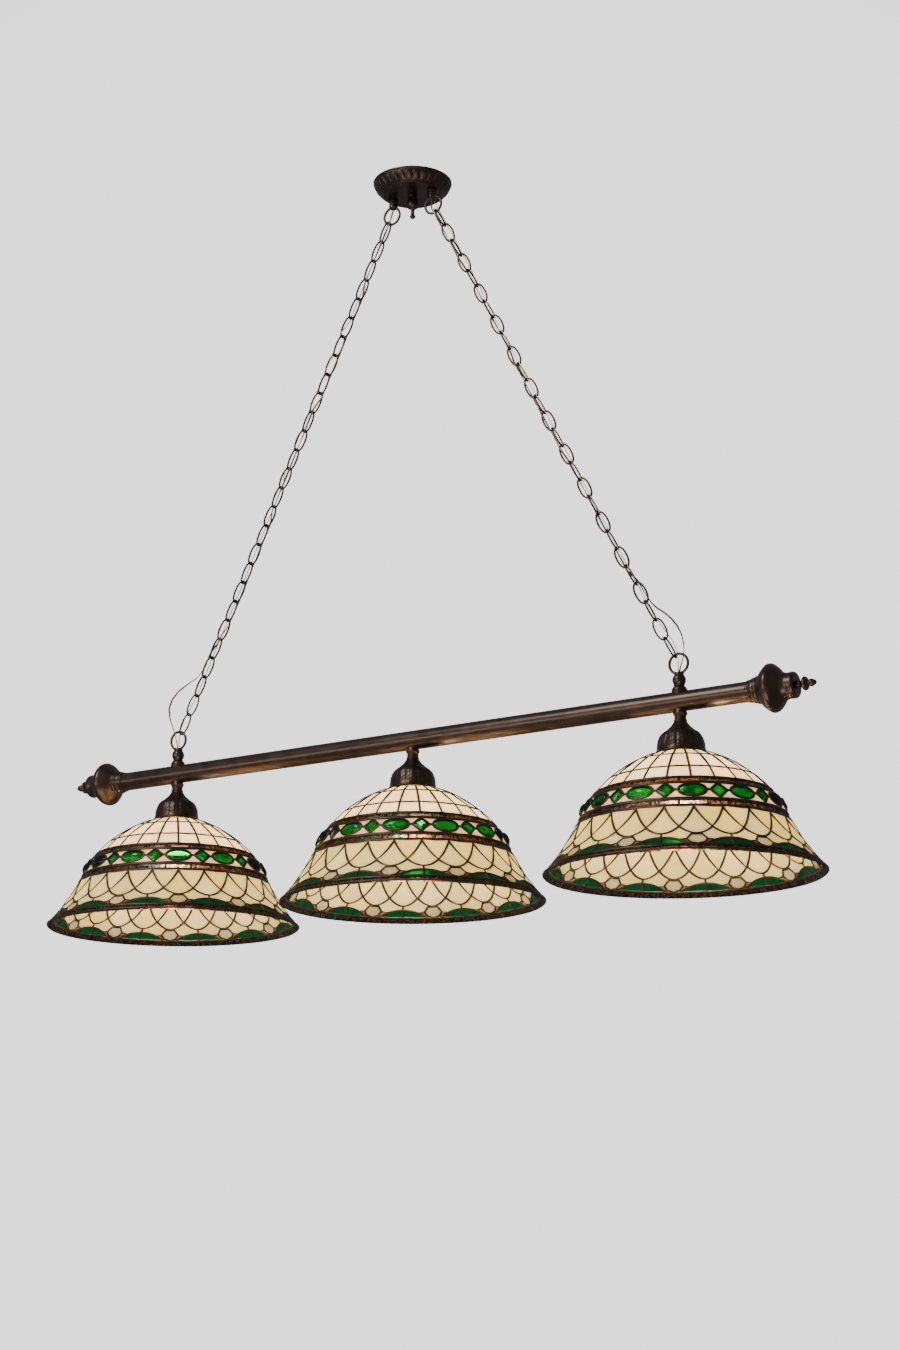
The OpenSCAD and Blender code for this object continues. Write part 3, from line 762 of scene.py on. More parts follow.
@dataclass
class Assembly:
    """A sub-assembly, which dresses its pieces from the lamp's finishes."""

    finishes: Finishes

    def turn(self, name: str, look: Look, body: str, node: str, profile: Sequence[tuple],
             centre: Sequence[float], sides: int = 56, axis: str = "Z",
             angle: float = 50.0, closed: bool = True) -> None:
        """Builds a piece that is a single turned part.

        Args:
            name: the piece's name.
            look: its finish.
            body: the body it rides on.
            node: the CAD node that it stands for.
            profile: its outline, and with centre, sides, axis and closed what add_lathe takes.
            angle: edges sharper than this stay sharp.
        """
        piece = MeshPiece(name, look)
        piece.add_lathe(np.asarray(profile, float), centre, sides, axis, closed)
        piece.build(body, [node], angle)


@dataclass
class Shade(Assembly):
    """One leaded shade, in twelve equal repeats."""

    place: str
    phase: float
    form: ShadeForm = field(default_factory=ShadeForm)
    repeats = 12

    def __post_init__(self) -> None:
        """Sets up the shade's random source and its foot."""
        self.rng = random.Random(f"{SEED}{self.place}")
        self.foot = np.array([PLACES[self.place] * PITCH, 0.0, RIM_Z])

    def repeat(self, points: np.ndarray, k: int) -> np.ndarray:
        """Moves points of a first repeat to repeat k of this shade."""
        turn = math.radians(self.phase + 360 / self.repeats * k)
        c, s = math.cos(turn), math.sin(turn)
        return points @ np.array([[c, s, 0], [-s, c, 0], [0, 0, 1]]) + self.foot

    def pane_mesh(self, pane: Pane) -> tuple[np.ndarray, list]:
        """Cuts one pane, nearly flat as real sheet glass is, and gives its mesh."""
        line = densified(pane.outline + pane.outline[:1], 7.0)[:-1]
        outer, normals = self.form.at(line[:, 0], line[:, 1], -0.7)
        n = unit(normals.mean(0))
        outer = outer - np.outer((outer - outer.mean(0)) @ n * 0.6, n)
        inner = outer - normals * 2.3
        m = len(outer)
        faces = [tuple(range(m)), tuple(range(2 * m - 1, m - 1, -1))]
        faces += [(i, m + i, m + (i + 1) % m, (i + 1) % m) for i in range(m)]
        return np.vstack([outer, inner]), faces

    def add_panes(self) -> None:
        """Builds the sheet glass, a piece for each kind of glass in each band."""
        pieces = {key: MeshPiece(f"{kind}_{self.place}", self.finishes.glass[key[1]])
                  for key, (kind, _) in PANE_PIECES.items()}
        for pane in cell_panes():
            verts, faces = self.pane_mesh(pane)
            middle = verts.mean(0)
            for k in range(self.repeats):
                wobble = np.array([self.rng.gauss(0, 0.006) for _ in range(3)])
                moved = verts + np.cross(wobble, verts - middle)
                pieces[pane.band, pane.glass].add(self.repeat(moved, k), faces,
                                                  self.rng.random())
        for key, (_, node) in PANE_PIECES.items():
            pieces[key].build("bar", [f"{node}_{self.place}"] if node else (), None)

    def stone(self, centre: float, half: tuple, sides: int, levels: Sequence) -> np.ndarray:
        """Rings of a jewel, from its (scale, offset outwards) levels, bottom last."""
        t = 2 * np.pi * np.arange(sides) / sides
        return np.array([self.form.at(centre + half[0] * k * np.cos(t),
                                      JEWEL_S + half[1] * k * np.sin(t), off)[0]
                         for k, off in levels])

    def add_jewels(self) -> None:
        """Builds the cabochons and the faceted diamonds."""
        dome = [(max(math.cos(a), 0.02), -1.2 + 6.2 * math.sin(a))
                for a in np.radians(np.linspace(90, 0, 9))]
        ovals = MeshPiece(f"oval_jewels_{self.place}", self.finishes.glass[Glass.JEWEL])
        oval = self.stone(0, OVAL, 40, dome + [(0.97, -1.2), (0.03, -3.6)])
        diamonds = MeshPiece(f"diamond_jewels_{self.place}", self.finishes.glass[Glass.JEWEL])
        diamond = self.stone(15, DIAMOND, 4, [(0.5, -3.4), (1.0, -1.0), (1.0, 0.4), (0.55, 3.6)])
        for k in range(self.repeats):
            ovals.add_tube(self.repeat(oval, k), tint=self.rng.random())
            diamonds.add_tube(self.repeat(diamond, k), tint=self.rng.random())
        ovals.build("bar", [f"shade_jewel_band_{self.place}"])
        diamonds.build("bar", (), None)

    def bead(self, line: np.ndarray, half: float, closed: bool = False) -> np.ndarray:
        """Rings of a solder bead along a line, a little proud on both faces of the glass."""
        path, normals = self.form.at(line[:, 0], line[:, 1])
        a = 2 * np.pi * np.arange(8) / 8
        section = np.c_[2 * half * np.cos(a), -1.85 + (1.55 + 0.9 * half) * np.sin(a)]
        return tube_rings(path, section, normals, closed)

    def add_leads(self) -> None:
        """Builds the solder lines and the rim bead."""
        piece = MeshPiece(f"leading_{self.place}", self.finishes.solder)
        for points, half in cell_leads():
            rings = self.bead(densified(points, 5.5), half)
            for k in range(self.repeats):
                piece.add_tube(self.repeat(rings, k), tint=self.rng.random())
        a = np.linspace(0, 360, 145)[:-1]
        for s, half in zip(ROWS, (1.3, 1.3, 1.5, 1.5, 1.3, 1.0, 1.0)):
            wave = s + 0.25 * np.sin(np.radians(a * 24 + self.phase))
            piece.add_tube(self.bead(np.c_[a, wave], half, True) + self.foot, closed=True)
        fine = np.radians(np.linspace(0, 360, 289)[:-1])
        outward = np.c_[np.cos(fine), np.sin(fine), 0 * fine]
        path = outward * (201.3 + 0.15 * np.sin(fine * 48))[:, None] + (0, 0, 1.9)
        piece.add_tube(tube_rings(path, circle(1.7, 10), outward, closed=True) + self.foot,
                       closed=True)
        piece.build("bar", [f"shade_leading_{self.place}"], 60)

    def build(self) -> None:
        """Builds the whole shade."""
        self.add_panes()
        self.add_jewels()
        self.add_leads()


# ---------------------------------------------------------------- canopy, chains and cords


class ChainFrame:
    """A chain's own frame: distance down the chain, offset outwards and offset towards +Y."""

    ring_centre = np.array([40.0, -48.5])
    bar_centre = np.array([PITCH, -885.5])
    wire = 4.0
    link_wire = 2.8
    gap = 0.5
    count = 27

    def __init__(self, side: str) -> None:
        """Works out the run and the links' pitch for one side."""
        self.side = side
        self.sign = SIDES[side]
        d = self.bar_centre - self.ring_centre
        self.run = float(np.hypot(*d)) - 2 * RING_R
        self.down = d / np.hypot(*d)
        self.out = np.array([-self.down[1], self.down[0]])
        self.step = (self.run + self.wire + self.gap) / self.count
        self.length = self.step + self.gap + 2 * self.link_wire
        self.long_half = (self.length - self.link_wire) / 2
        self.first = self.long_half - (self.link_wire + self.wire) / 2 - self.gap

    def points(self, sny: np.ndarray) -> np.ndarray:
        """Turns (s, n, y) points into the part's frame."""
        sny = np.asarray(sny, float)
        xz = (self.ring_centre + np.outer(sny[:, 0] + RING_R, self.down)
              + np.outer(sny[:, 1], self.out))
        return np.c_[xz[:, 0] * self.sign, sny[:, 2], xz[:, 1]]

    def link_rings(self, i: int, rng: random.Random) -> np.ndarray:
        """Rings of link i, an oval of round wire with the seam of its weld."""
        n = 44
        t = 2 * np.pi * np.arange(n) / n
        power = 2 / 2.2
        along = self.long_half * np.sign(np.sin(t)) * np.abs(np.sin(t)) ** power
        across = 8.6 * np.sign(np.cos(t)) * np.abs(np.cos(t)) ** power
        s = self.first + i * self.step + along
        roll = math.radians(rng.gauss(0, 1.2))
        n_off, y_off = across * math.sin(roll), across * math.cos(roll)
        if i % 2:
            n_off, y_off = across * math.cos(roll), across * math.sin(roll)
        path = self.points(np.c_[s, n_off, y_off])
        face = self.points([[0, 0, 1] if i % 2 else [0, 1, 0]])[0] - self.points([[0, 0, 0]])[0]
        wire = 1.4 if i >= self.count - 2 else 1.6
        rings = tube_rings(path, circle(wire, 12), np.tile(unit(face), (n, 1)), closed=True)
        seam = 1 + 0.1 * np.exp(-((t - (0.15 if i % 4 < 2 else np.pi + 0.15)) / 0.09) ** 2)
        return path[:, None] + (rings - path[:, None]) * seam[:, None, None]


CORD_TOP = [
    (-32, 5.7, -1.1), (-26, 2.8, -1.3), (-14, -1.6, -4), (-7, -3.7, -4.7), (20, -3.7, -4.3),
    (104, -3.6, -4.2), (127, -3.6, 4.2), (306, -3.6, 4.2), (329, -3.6, -4.2), (509, -3.6, -4.2),
    (531, -3.6, 4.2)]
CORD_TAILS = {
    "left": [
        (711, -3.6, 4.2), (733, -3.6, -4.2), (745, -3.4, -4.4), (767, 3.4, -4.4),
        (792, 3.6, -4.2), (812, 9.5, -4.5), (828, 22.5, -5), (845, 35, -5), (862, 41.5, -5),
        (878, 40.5, -5), (893, 30.5, -4.8), (905, 17, -4.4), (914, 8, -4), (923, 1, -2.4),
        (930, -4, -1.2), (938, -8.6, -1.2)],
    "right": [
        (745, -3.4, 4.4), (767, 3.4, 4.4), (792, 3.8, 4.4), (812, 6, 4.6), (822, 9, 4.8),
        (836, 15.8, 5), (851, 21, 5), (866, 23.6, 5), (880, 23.4, 5), (892, 20.8, 4.8),
        (903, 16.4, 4.4), (912, 11, 4.1), (922, 2.5, 2.6), (930, -4, 1.2), (938, -8.6, 1.2)]}
GROUND_TOP = [
    (-32, 5.7, 1.9), (-26, 3, 2.2), (-12, 3, 4), (0, 3.2, 4.6), (20, 3.2, 4.4),
    (173, 3.2, 4.4), (193, 3.2, -4.4)]
GROUND_TAILS = {
    "left": [
        (443, 3.2, -4.4), (463, 3.2, 4.4), (830, 3.2, 4.4), (860, 6, 4.6), (885, 9.5, 4.6),
        (905, 8, 4.2), (914, 4, 3.6), (923, -0.5, 2.8), (930, -4.6, 2), (938, -8.6, 1.9)],
    "right": [
        (830, 3.2, -4.4), (860, 6, -4.6), (885, 9.5, -4.6), (905, 8, -4.2), (914, 4, -3.6),
        (923, -0.5, -2.8), (930, -4.6, -2), (938, -8.6, -1.9)]}


@dataclass
class Chain(Assembly):
    """One chain with its lamp cord and ground wire."""

    side: str

    def __post_init__(self) -> None:
        """Sets up the chain's frame."""
        self.frame = ChainFrame(self.side)
        self.rng = random.Random(f"{SEED}{self.side}")

    def add_links(self) -> None:
        """Builds the two end links and the run between them."""
        last = self.frame.count - 1
        groups = (("upper_link", [0], "upper_links"),
                  ("chain", range(1, last), f"{self.side}_chain"),
                  ("lower_link", [last], "lower_links"))
        for name, numbers, body in groups:
            piece = MeshPiece(f"{name}_look_{self.side}", self.finishes.chain)
            for i in numbers:
                piece.add_tube(self.frame.link_rings(i, self.rng), closed=True)
            piece.build(body, [f"{name}_{self.side}"], smooth_angle=60)

    def flex_wire(self, name: str, route: Sequence[tuple], section: np.ndarray,
                  look: Look, twist: float, node: str) -> None:
        """Builds a wire that runs down the chain, in stretches split at the end links.

        Args:
            name: name of the wire's pieces.
            route: (s, n, y) points in the chain's frame.
            section: the wire's section.
            look: its finish.
            twist: length in mm of one full turn of the section, or 0 for none.
            node: the CAD node that it stands for.
        """
        line = np.asarray(route, float)
        dense = [line[0]]
        for a, b in zip(line[:-1], line[1:]):
            n = max(1, round((b[0] - a[0]) / 9))
            dense += [a + (b - a) * k / n for k in range(1, n + 1)]
        line = smooth_line(dense, 2)
        s = line[:, 0]
        line[:, 1:] += 0.22 * np.c_[np.sin(s / 41.0), np.cos(s / 33.0)] * (
            np.clip((s - 20) / 60, 0, 1) * np.clip((800 - s) / 60, 0, 1))[:, None]
        path = self.frame.points(line)
        spin = 2 * np.pi * s / twist if twist else None
        rings = tube_rings(path, section, spin=spin)
        chain = f"{self.side}_chain"

        def stretch(tag: str, s0: float, s1: float, body: Optional[str],
                    bend: Optional[tuple] = None, shrink: float = 1.0) -> None:
            keep = np.flatnonzero((s >= s0) & (s <= s1))
            lo, hi = keep[0], min(keep[-1] + 2, len(s))
            part = MeshPiece(f"{name}_{tag}_{self.side}", look)
            middle = path[lo:hi, None]
            part.add_tube(middle + (rings[lo:hi] - middle) * shrink)
            obj = part.build(body, [node] if tag == "run" else (), smooth_angle=60)
            if bend:
                a, b, at, to = bend
                ends = self.frame.points([[at, 0, 0], [to, 0, 0]]) * MM
                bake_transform(obj)

        stretch("top", -32, 12, None, ("root", "upper_links", -12, 8))
        stretch("neck", 12, 96, None, ("upper_links", chain, 20, 70))
        if self.side == "left":
            stretch("run", 96, 790, chain)
            stretch("bow", 790, 889, None, (chain, "lower_links", 815, 886))
        else:
            stretch("run", 96, 876, chain)
            stretch("bow", 868, 889, "lower_links", shrink=0.97)
        stretch("drop", 889, 938, None, ("lower_links", "bar", 894, 918))

    def build(self) -> None:
        """Builds the chain and its wires."""
        self.add_links()
        a = 2 * np.pi * np.arange(14) / 14
        twin = np.c_[1.62 * np.cos(a), 0.88 * np.sin(a) * (1 - 0.32 * np.sin(a) ** 8)]
        self.flex_wire("twin_cord", CORD_TOP + CORD_TAILS[self.side], twin, self.finishes.cord,
                       210.0, f"lamp_cord_{self.side}")
        self.flex_wire("copper_wire", GROUND_TOP + GROUND_TAILS[self.side], circle(0.68, 8),
                       self.finishes.copper, 0.0, f"ground_wire_{self.side}")


def add_ring(piece: MeshPiece, centre: Sequence[float], flare: float) -> None:
    """Adds a loop's cast ring, a little thicker where it meets its collar."""
    t = 2 * np.pi * np.arange(72) / 72
    path = RING_R * np.c_[np.cos(t), 0 * t, np.sin(t)] + np.asarray(centre, float)
    rings = tube_rings(path, circle(2.1, 14), np.tile([0.0, 1.0, 0.0], (72, 1)), closed=True)
    up = -1 if centre[2] < -500 else 1
    grow = 1 + 0.12 * flare * np.exp(-((np.sin(t) * up - 1) / 0.12) ** 2)
    piece.add_tube(path[:, None] + (rings - path[:, None]) * grow[:, None, None], closed=True)


def saddled(line: np.ndarray, x: float, radii: Sequence[float], up: int) -> np.ndarray:
    """Gives the rings of a turned neck with its foot cut to the tube's curve.

    Args:
        line: the neck's (radius, z) points.
        x: its place along the bar.
        radii: radii of the rings that lie on the tube, in order after the line.
        up: 1 for a neck above the tube, -1 for one below.

    Returns:
        The rings' points, (n, m, 3).
    """
    a = 2 * np.pi * np.arange(56) / 56
    levels = [(r, z + 0 * a) for r, z in line]
    levels += [(r, BAR_Z + up * (np.sqrt(BAR_R**2 - (r * np.sin(a)) ** 2) + 0.03))
               for r in radii]
    return np.array([np.c_[r * np.cos(a) + x, r * np.sin(a), z] for r, z in levels])


@dataclass
class Canopy(Assembly):
    """Cast canopy with petals and beads, its knob and its two loops."""

    petals = 14
    beads = 44
    bead_ring_r = 46.6

    def add_shell(self) -> None:
        """Builds the dished shell with its petals and bead row."""
        def petal(angle: np.ndarray, r: float, h: float) -> np.ndarray:
            depth = math.sin(math.pi * min(max((-h - 3.6) / 15.4, 0), 1))
            wave = np.abs(np.cos(angle * self.petals)) ** 0.55
            drop = np.abs(np.sin(angle * self.petals)) ** 6 * 0.5
            return r - 1.9 * depth * (1 - wave) - drop * depth

        outer = smooth_line([
            (64.7, 0), (64.6, -1.8), (63.6, -3.2), (63.0, -4.6), (62.2, -8), (58.6, -13),
            (54.6, -17), (51.2, -19.3), (49.4, -20.2), (48.6, -20.9), (44.6, -21), (40, -20.6)])
        inner = [(40, -19.4), (45, -19.4), (53, -15.4), (61, -6), (63, -0.1)]
        flat = [(5.3, -19.5), (5.3, -20.6), (9, -20.9), (40.2, -20.6), (40.2, -19.5)]
        piece = MeshPiece("canopy_look", self.finishes.cast)
        piece.add_lathe(np.vstack([outer, inner]), sides=24 * self.petals, shape=petal)
        piece.add_lathe(np.array(flat))
        t = np.linspace(0, math.pi, 7)
        bead = np.c_[1.55 * np.sin(t) + 0.02, -1.55 * np.cos(t)]
        for x, y in circle(self.bead_ring_r, self.beads):
            piece.add_lathe(bead, (x, y, -20.1), 10, closed=False)
        piece.build("root", ["canopy_shell"])

    def build(self) -> None:
        """Builds the shell, the knob that clamps it and the wiring loops."""
        self.add_shell()
        bronze = self.finishes.bronze
        knob = smooth_line([
            (7.4, -21.4), (7.9, -22.6), (7.3, -24.2), (7.4, -27), (8.6, -32), (9.6, -37.5),
            (9.9, -41), (8.6, -43.4), (5.4, -45.4), (4.2, -46.3), (3.5, -47.5), (3.1, -52),
            (3.4, -56.4), (4.7, -58.6), (4.6, -60.6), (2.6, -62.6), (0.05, -63)])
        bore = [(0.05, -37.8), (4.85, -37.8), (4.85, -21.4)]
        self.turn("knob_look", bronze, "canopy_knob", "canopy_knob", np.vstack([knob, bore]),
                  (0, 0, 0), 64, angle=40)
        collar = smooth_line([
            (7.8, -21.1), (8.1, -22.2), (7.8, -24), (7.3, -26.4), (7.4, -28), (6.6, -29.6),
            (7.3, -31), (7.4, -34.2), (6.6, -35.8), (4.6, -36), (3.05, -35.9)])
        for side, s in SIDES.items():
            piece = MeshPiece(f"canopy_loop_look_{side}", bronze)
            piece.add_lathe(np.vstack([collar, [(3.05, -21.2)]]), (s * 37.5, 0, 0), 56)
            add_ring(piece, (s * 40, 0, -48.5), 0.6)
            piece.build("root", [f"canopy_loop_{side}"])


# ---------------------------------------------------------------- bar and pendants


@dataclass
class Bar(Assembly):
    """The tube with its turned caps, finials and upper loops."""

    cap = (
        (104, 15.2), (103.6, 16.2), (101.4, 16.5), (99.6, 16.9), (98.9, 16.5), (96.4, 17.3),
        (95.4, 18.3), (93.4, 18.6), (91.4, 18.7), (90.2, 19.6), (89.2, 20.2), (87.6, 20.2),
        (86.4, 19.9), (85, 21.2), (82, 24.2), (78, 28.4), (73, 32.8), (69.4, 35.2),
        (66.6, 35.6), (64.2, 35.0), (61.5, 33.7), (57, 29.6), (52, 23.6), (49.6, 21.3),
        (48, 20.4), (45.5, 19.5), (42.6, 18.9), (40, 19.0), (36.2, 19.3), (33.6, 19.2),
        (31.4, 18.4), (30.2, 16.2), (30, 10), (30, 3))
    tip = (
        (29.7, 2.1), (29.6, 5.4), (28.6, 5.9), (27.4, 4.9), (25, 4.5), (22.8, 5.4), (21, 8.2),
        (19.4, 9.8), (18.2, 10.2), (16.6, 10.1), (14.6, 8.6), (13.2, 6.2), (12.4, 5.0),
        (11.4, 5.0), (9, 5.7), (6, 5.3), (2.5, 3.5), (0.6, 1.6), (0, 0.05))

    def end(self, name: str, side: str, body: str, outline: Sequence[tuple],
            bore: Sequence[tuple], sides: int) -> None:
        """Builds a turned part of one end from its (distance from the tip, radius) points."""
        line = smooth_line([(r, HALF_LENGTH - d) for d, r in outline])
        back = [(r, HALF_LENGTH - d) for d, r in bore]
        self.turn(f"{name}_look_{side}", self.finishes.bronze, body, f"{name}_{side}",
                  np.vstack([line, back]), (0, 0, BAR_Z), sides, "X" if side == "right" else "-X")

    def add_loop(self, side: str) -> None:
        """Builds the turned neck on the tube and its ring."""
        x = SIDES[side] * PITCH
        line = smooth_line([
            (3.45, -899.2), (5.6, -899), (6.8, -899.6), (7.2, -901.2), (7.2, -903.2),
            (8.3, -904.6), (9.4, -906.8), (9.9, -909), (9.9, -911.4), (9.3, -914.4),
            (8.1, -916.4), (7.7, -917.4), (8.4, -918.2), (7.7, -919.2), (8.9, -920.6),
            (10.4, -922.4), (11.3, -924.2), (11.6, -926.4)])
        piece = MeshPiece(f"bar_loop_look_{side}", self.finishes.bronze)
        piece.add_tube(saddled(line, x, (11.6, 3.45), 1), closed=True)
        add_ring(piece, (x, 0, -885.5), 1.0)
        piece.build("bar", [f"bar_loop_{side}"])

    def build(self) -> None:
        """Builds the bar."""
        steps = np.linspace(91.5 - HALF_LENGTH, HALF_LENGTH - 91.5, 25)
        tube = [(BAR_R, x) for x in steps] + [(BAR_R - 1.5, x) for x in steps[::-6]]
        self.turn("tube_look", self.finishes.bronze, "bar", "bar_tube", tube, (0, 0, BAR_Z), 72,
                  "X")
        for side in SIDES:
            self.end("end_cap", side, "bar", self.cap, ((90, 3), (90, 15.1)), 96)
            self.end("finial", side, f"finial_{side}", self.tip, ((14, 0.05), (14, 2.1)), 56)
            self.add_loop(side)


@dataclass
class Pendant(Assembly):
    """What holds one shade: the neck, the lobed cap, the socket and the bulb."""

    place: str

    def add_vase_cap(self, x: float) -> None:
        """Builds the cast cap with its lobes and raised leaves."""
        outer = smooth_line([
            (5.3, -970.2), (9.4, -970.4), (9.9, -971.4), (9.6, -972.6), (11.6, -975.6),
            (14.4, -979.5), (16.8, -982.2), (18.2, -982.7), (19.4, -984.2), (23.6, -987),
            (27.8, -990), (30.8, -993.6), (32.8, -998), (34.4, -1003), (35.2, -1008),
            (35.8, -1013), (36.8, -1016.6), (37.9, -1018.2), (37.9, -1019.3)])
        inner = [(36.2, -1018.2), (33.6, -1009), (30.6, -997), (24, -989.6), (5.3, -984)]

        def lobes(angle: np.ndarray, r: float, h: float) -> np.ndarray:
            level = (-h - 985) / 32
            if r < 12 or not 0 < level < 1.02:
                return np.full(len(angle), float(r))
            depth = math.sin(math.pi * min(level, 1)) ** 0.6
            groove = (1 - np.abs(np.cos(angle * 6)) ** 0.5) * 1.5 * depth
            vein = np.exp(-(np.sin(angle * 6) / 0.16) ** 2) * 0.55
            leaf = np.cos(angle * 12 + 6 * math.pi * level) ** 2 * 0.4
            return r - 0.75 - groove * 0.8 + (vein + leaf) * depth

        piece = MeshPiece(f"vase_cap_look_{self.place}", self.finishes.cast)
        piece.add_lathe(np.vstack([outer, inner]), (x, 0, 0), 216, shape=lobes)
        piece.build("bar", [f"vase_cap_{self.place}"])

    def add_neck(self, x: float) -> None:
        """Builds the small turned neck between the tube and the cap."""
        line = smooth_line([
            (9.4, -957.8), (10.3, -958.8), (10.7, -960.2), (10.4, -961.6), (9.3, -963.2),
            (8.5, -964.2), (9.0, -965.2), (8.3, -966.2), (9.0, -967.2), (8.4, -968.2),
            (9.1, -969.2), (8.4, -970), (5.0, -970)])
        piece = MeshPiece(f"neck_look_{self.place}", self.finishes.bronze)
        piece.add_tube(saddled(line, x, (5.0, 9.4), -1), closed=True)
        piece.build("bar", [f"shade_neck_{self.place}"])

    def add_light(self, x: float) -> None:
        """Builds the glazed socket with its rim rings, the lit bulb and its threaded base."""
        place, f, foot = self.place, self.finishes, (x, 0, RIM_Z)
        socket = [(13.1, 122.1), (16.4, 121.95), (17.3, 122.6), (17.5, 124), (16.9, 126),
                  (17.5, 128), (17.5, 146), (16.7, 147.2), (16.7, 149.6), (17.4, 151),
                  (17.4, 163), (14.6, 169.6), (11, 172.7), (5, 172.8), (5, 166), (13.1, 150)]
        self.turn(f"socket_look_{place}", f.porcelain, "bar", f"socket_{place}", socket, foot,
                  72, angle=30)
        low, r = 39.9, 30
        t = np.radians(np.linspace(-90, 20, 18))
        globe = np.c_[r * np.cos(t), low + r + r * np.sin(t)]
        globe[0, 0] = 0.05
        shoulder = smooth_line([globe[-1], (27, low + 44), (22.5, low + 56), (16.5, low + 68),
                                (13.6, low + 76), (13, low + 81.6)])
        self.turn(f"bulb_look_{place}", f.bulb, f"bulb_{place}", f"bulb_glass_{place}",
                  np.vstack([globe, shoulder[1:], [(0.05, low + 81.6)]]), foot, 64, closed=False)
        base = [(0.05, 121.6)] + [(12.5 + 0.5 * math.cos(k * math.pi / 2), 121.6 + k * 0.62)
                                  for k in range(34)]
        self.turn(f"screw_base_look_{place}", f.nickel, f"bulb_{place}", f"bulb_base_{place}",
                  base + [(11.6, 143.4), (5, 147.4), (0.05, 147.5)], foot, closed=False)

    def build(self) -> None:
        """Builds the pendant's pieces."""
        x = PLACES[self.place] * PITCH
        for part in (self.add_neck, self.add_vase_cap, self.add_light):
            part(x)


@dataclass
class Hardware(Assembly):
    """CAD pieces that keep their shape and get a finish, the threads and the seat plates."""

    nodes: dict

    def wear(self, node: str, look: Look) -> None:
        """Gives a CAD node a finish through its material slots."""
        obj = self.nodes[node]
        if not obj.data.materials:
            obj.data.materials.append(look.material)
        for slot in obj.material_slots:
            slot.material = look.material

    def add_thread(self, name: str, x: float, low: float, top: float, node: str,
                   body: str) -> None:
        """Replaces a plain pipe by one with a cut thread."""
        n = int((top - low) / 0.45)
        line = [(4.62 + (0.16 if k % 2 else -0.16), low + (top - low) * k / n)
                for k in range(n + 1)]
        self.turn(name, self.finishes.brass, body, node, line + [(3.3, top), (3.3, low)],
                  (x, 0, 0), 28, angle=60)

    def build(self) -> None:
        """Dresses the hardware."""
        f = self.finishes
        for node, look in (("mounting_crossbar", f.steel), ("canopy_nuts", f.brass),
                           ("ground_screw", f.green_paint), ("pipe_nuts", f.brass),
                           ("end_plug_left", f.steel), ("end_plug_right", f.steel)):
            self.wear(node, look)
        plate = [(5, 177.9), (25.2, 177.9), (25.4, 178.4), (25.2, 179.2), (5, 179.3)]
        plates = MeshPiece("seat_plates_look", f.brass)
        for k in PLACES.values():
            plates.add_lathe(np.array(plate), (k * PITCH, 0, RIM_Z), 64)
        plates.build("bar", ["seat_plates"])
        self.add_thread("canopy_thread_look", 0, -36, 0, "crossbar_pipe", "root")
        for place, k in PLACES.items():
            self.add_thread(f"pipe_thread_look_{place}", k * PITCH, RIM_Z + 164.9,
                            BAR_Z + 8 if place == "middle" else -909, f"pipe_{place}", "bar")


# ---------------------------------------------------------------- studio


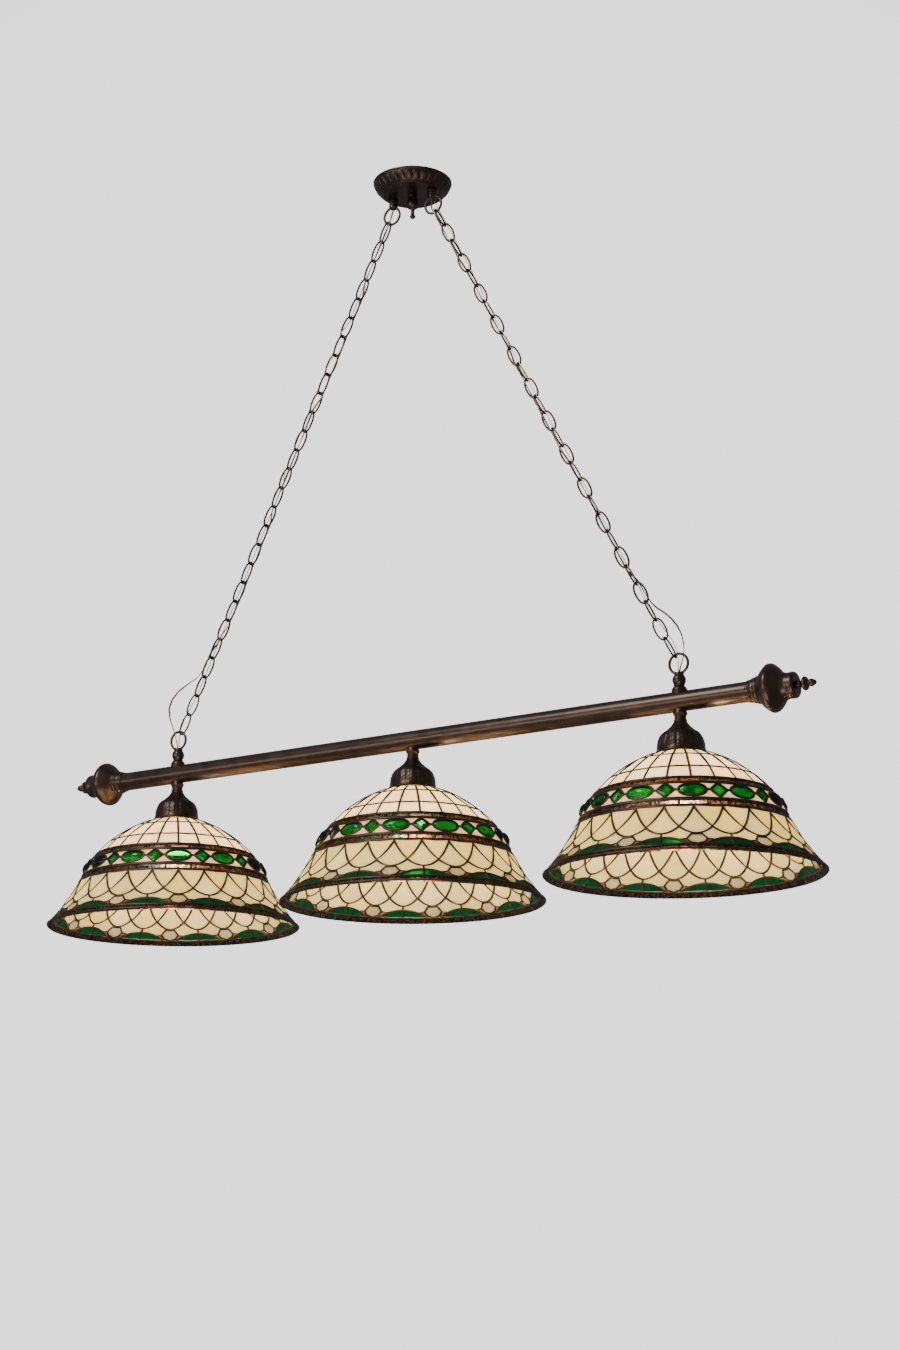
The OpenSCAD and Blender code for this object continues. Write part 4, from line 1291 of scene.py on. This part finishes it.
class Studio:
    """Backdrop, lights and camera."""

    eye = Vector((1.8798, -2.9770, -1.7687))
    right = Vector((0.85361, 0.52090, -0.00440))
    up = Vector((0.13674, -0.21592, 0.96679))

    def add_camera(self) -> None:
        """Places the camera low in front of the lamp, looking up."""
        data = bpy.data.cameras.new("camera")
        data.lens, data.sensor_width, data.clip_end = 62.35, 36.0, 60.0
        back = self.right.cross(self.up).normalized()
        up = back.cross(self.right).normalized()
        camera = placed("camera", data)
        camera.matrix_world = Matrix.Translation(self.eye) @ Matrix(
            (self.right, up, back)).transposed().to_4x4()
        bpy.context.scene.camera = camera

    def area(self, name: str, at: tuple, to: tuple, size: tuple, power: float,
             colour: tuple = (1, 1, 1)) -> None:
        """Adds a soft light of a width and height that faces a point."""
        data = bpy.data.lights.new(name, "AREA")
        data.shape = "RECTANGLE"
        data.energy, data.color = power, colour
        data.size, data.size_y = size
        light = placed(name, data)
        way = (Vector(to) - Vector(at)).to_track_quat("-Z", "Y")
        light.matrix_world = Matrix.Translation(at) @ way.to_matrix().to_4x4()

    def add_backdrop(self) -> None:
        """Adds a sweep behind the lamp, lit white where the camera looks and dim elsewhere."""
        forward = -self.right.cross(self.up)
        flat = Vector((forward.x, forward.y, 0)).normalized()
        side = Vector((-flat.y, flat.x, 0))
        curve = [(-3.0, -3.4), (3.0, -3.4), (4.6, -3.3), (5.6, -2.8), (6.2, -1.8), (6.4, -0.4),
                 (6.4, 5.5)]
        line = smooth_line(curve, 4)
        verts = [(*(flat * d + side * w).xy, z) for d, z in line for w in (-6.5, 6.5)]
        faces = [(i, i + 1, i + 3, i + 2) for i in range(0, len(verts) - 2, 2)]
        mesh = bpy.data.meshes.new("sweep")
        mesh.from_pydata(verts, [], faces)
        middle = self.eye + forward * 9.6
        g = Graph("white_sweep")
        away = g.add("VectorMath", {0: g.place(), 1: middle}, operation="DISTANCE")
        lit = g.add("MapRange", {
            "Value": away.outputs["Value"], "From Min": 3.9, "From Max": 5.2, "To Min": 1.9,
            "To Max": 0.25}, interpolation_type="SMOOTHSTEP").outputs["Result"]
        light = g.add("Emission", {"Color": (1.0, 1.0, 1.0, 1.0), "Strength": lit})
        mesh.materials.append(Finish("white_sweep", "").dress(g, light).material)
        sweep = placed("sweep", mesh)
        sweep.visible_glossy = sweep.visible_transmission = sweep.visible_diffuse = False

    def add_world(self) -> None:
        """Fills the room with dim, neutral light."""
        world = bpy.data.worlds.new("room")
        world.use_nodes = True
        world.node_tree.nodes["Background"].inputs[0].default_value = (0.82, 0.86, 0.92, 1)
        world.node_tree.nodes["Background"].inputs[1].default_value = 0.22
        bpy.context.scene.world = world

    def build(self) -> None:
        """Builds the studio."""
        self.add_camera()
        self.add_backdrop()
        self.add_world()
        self.area("key", (-0.6, -2.2, 1.0), (0, 0, -0.8), (0.9, 0.9), 45, (1.0, 0.97, 0.93))
        self.area("strip", (-1.0, -2.2, -1.0), (-1.0, 0, -0.94), (2.8, 0.2), 18,
                  (1.0, 0.97, 0.93))
        self.area("floor_bounce", (0.6, -1.6, -2.8), (0, 0, -0.3), (1.6, 1.0), 22,
                  (1.0, 0.95, 0.9))


class Lamp:
    """The whole lamp."""

    phases = {"left": -80.0, "middle": -67.8, "right": -59.0}

    def __init__(self, frame: dict) -> None:
        """Makes the finishes and the sub-assemblies."""
        f = Finishes()
        self.parts = [Canopy(f), Bar(f), Hardware(f, frame["nodes"])]
        self.parts += [Chain(f, side) for side in SIDES]
        self.parts += [Pendant(f, place) for place in PLACES]
        self.parts += [Shade(f, place, self.phases[place]) for place in PLACES]

    def build(self) -> None:
        """Builds each sub-assembly."""
        for part in self.parts:
            part.build()
            LOG.info("built %s", type(part).__name__)


def main() -> None:
    """Builds the looks and the studio."""
    random.seed(SEED)
    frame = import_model()
    Lamp(frame).build()
    Studio().build()


if __name__ == "__main__":
    main()
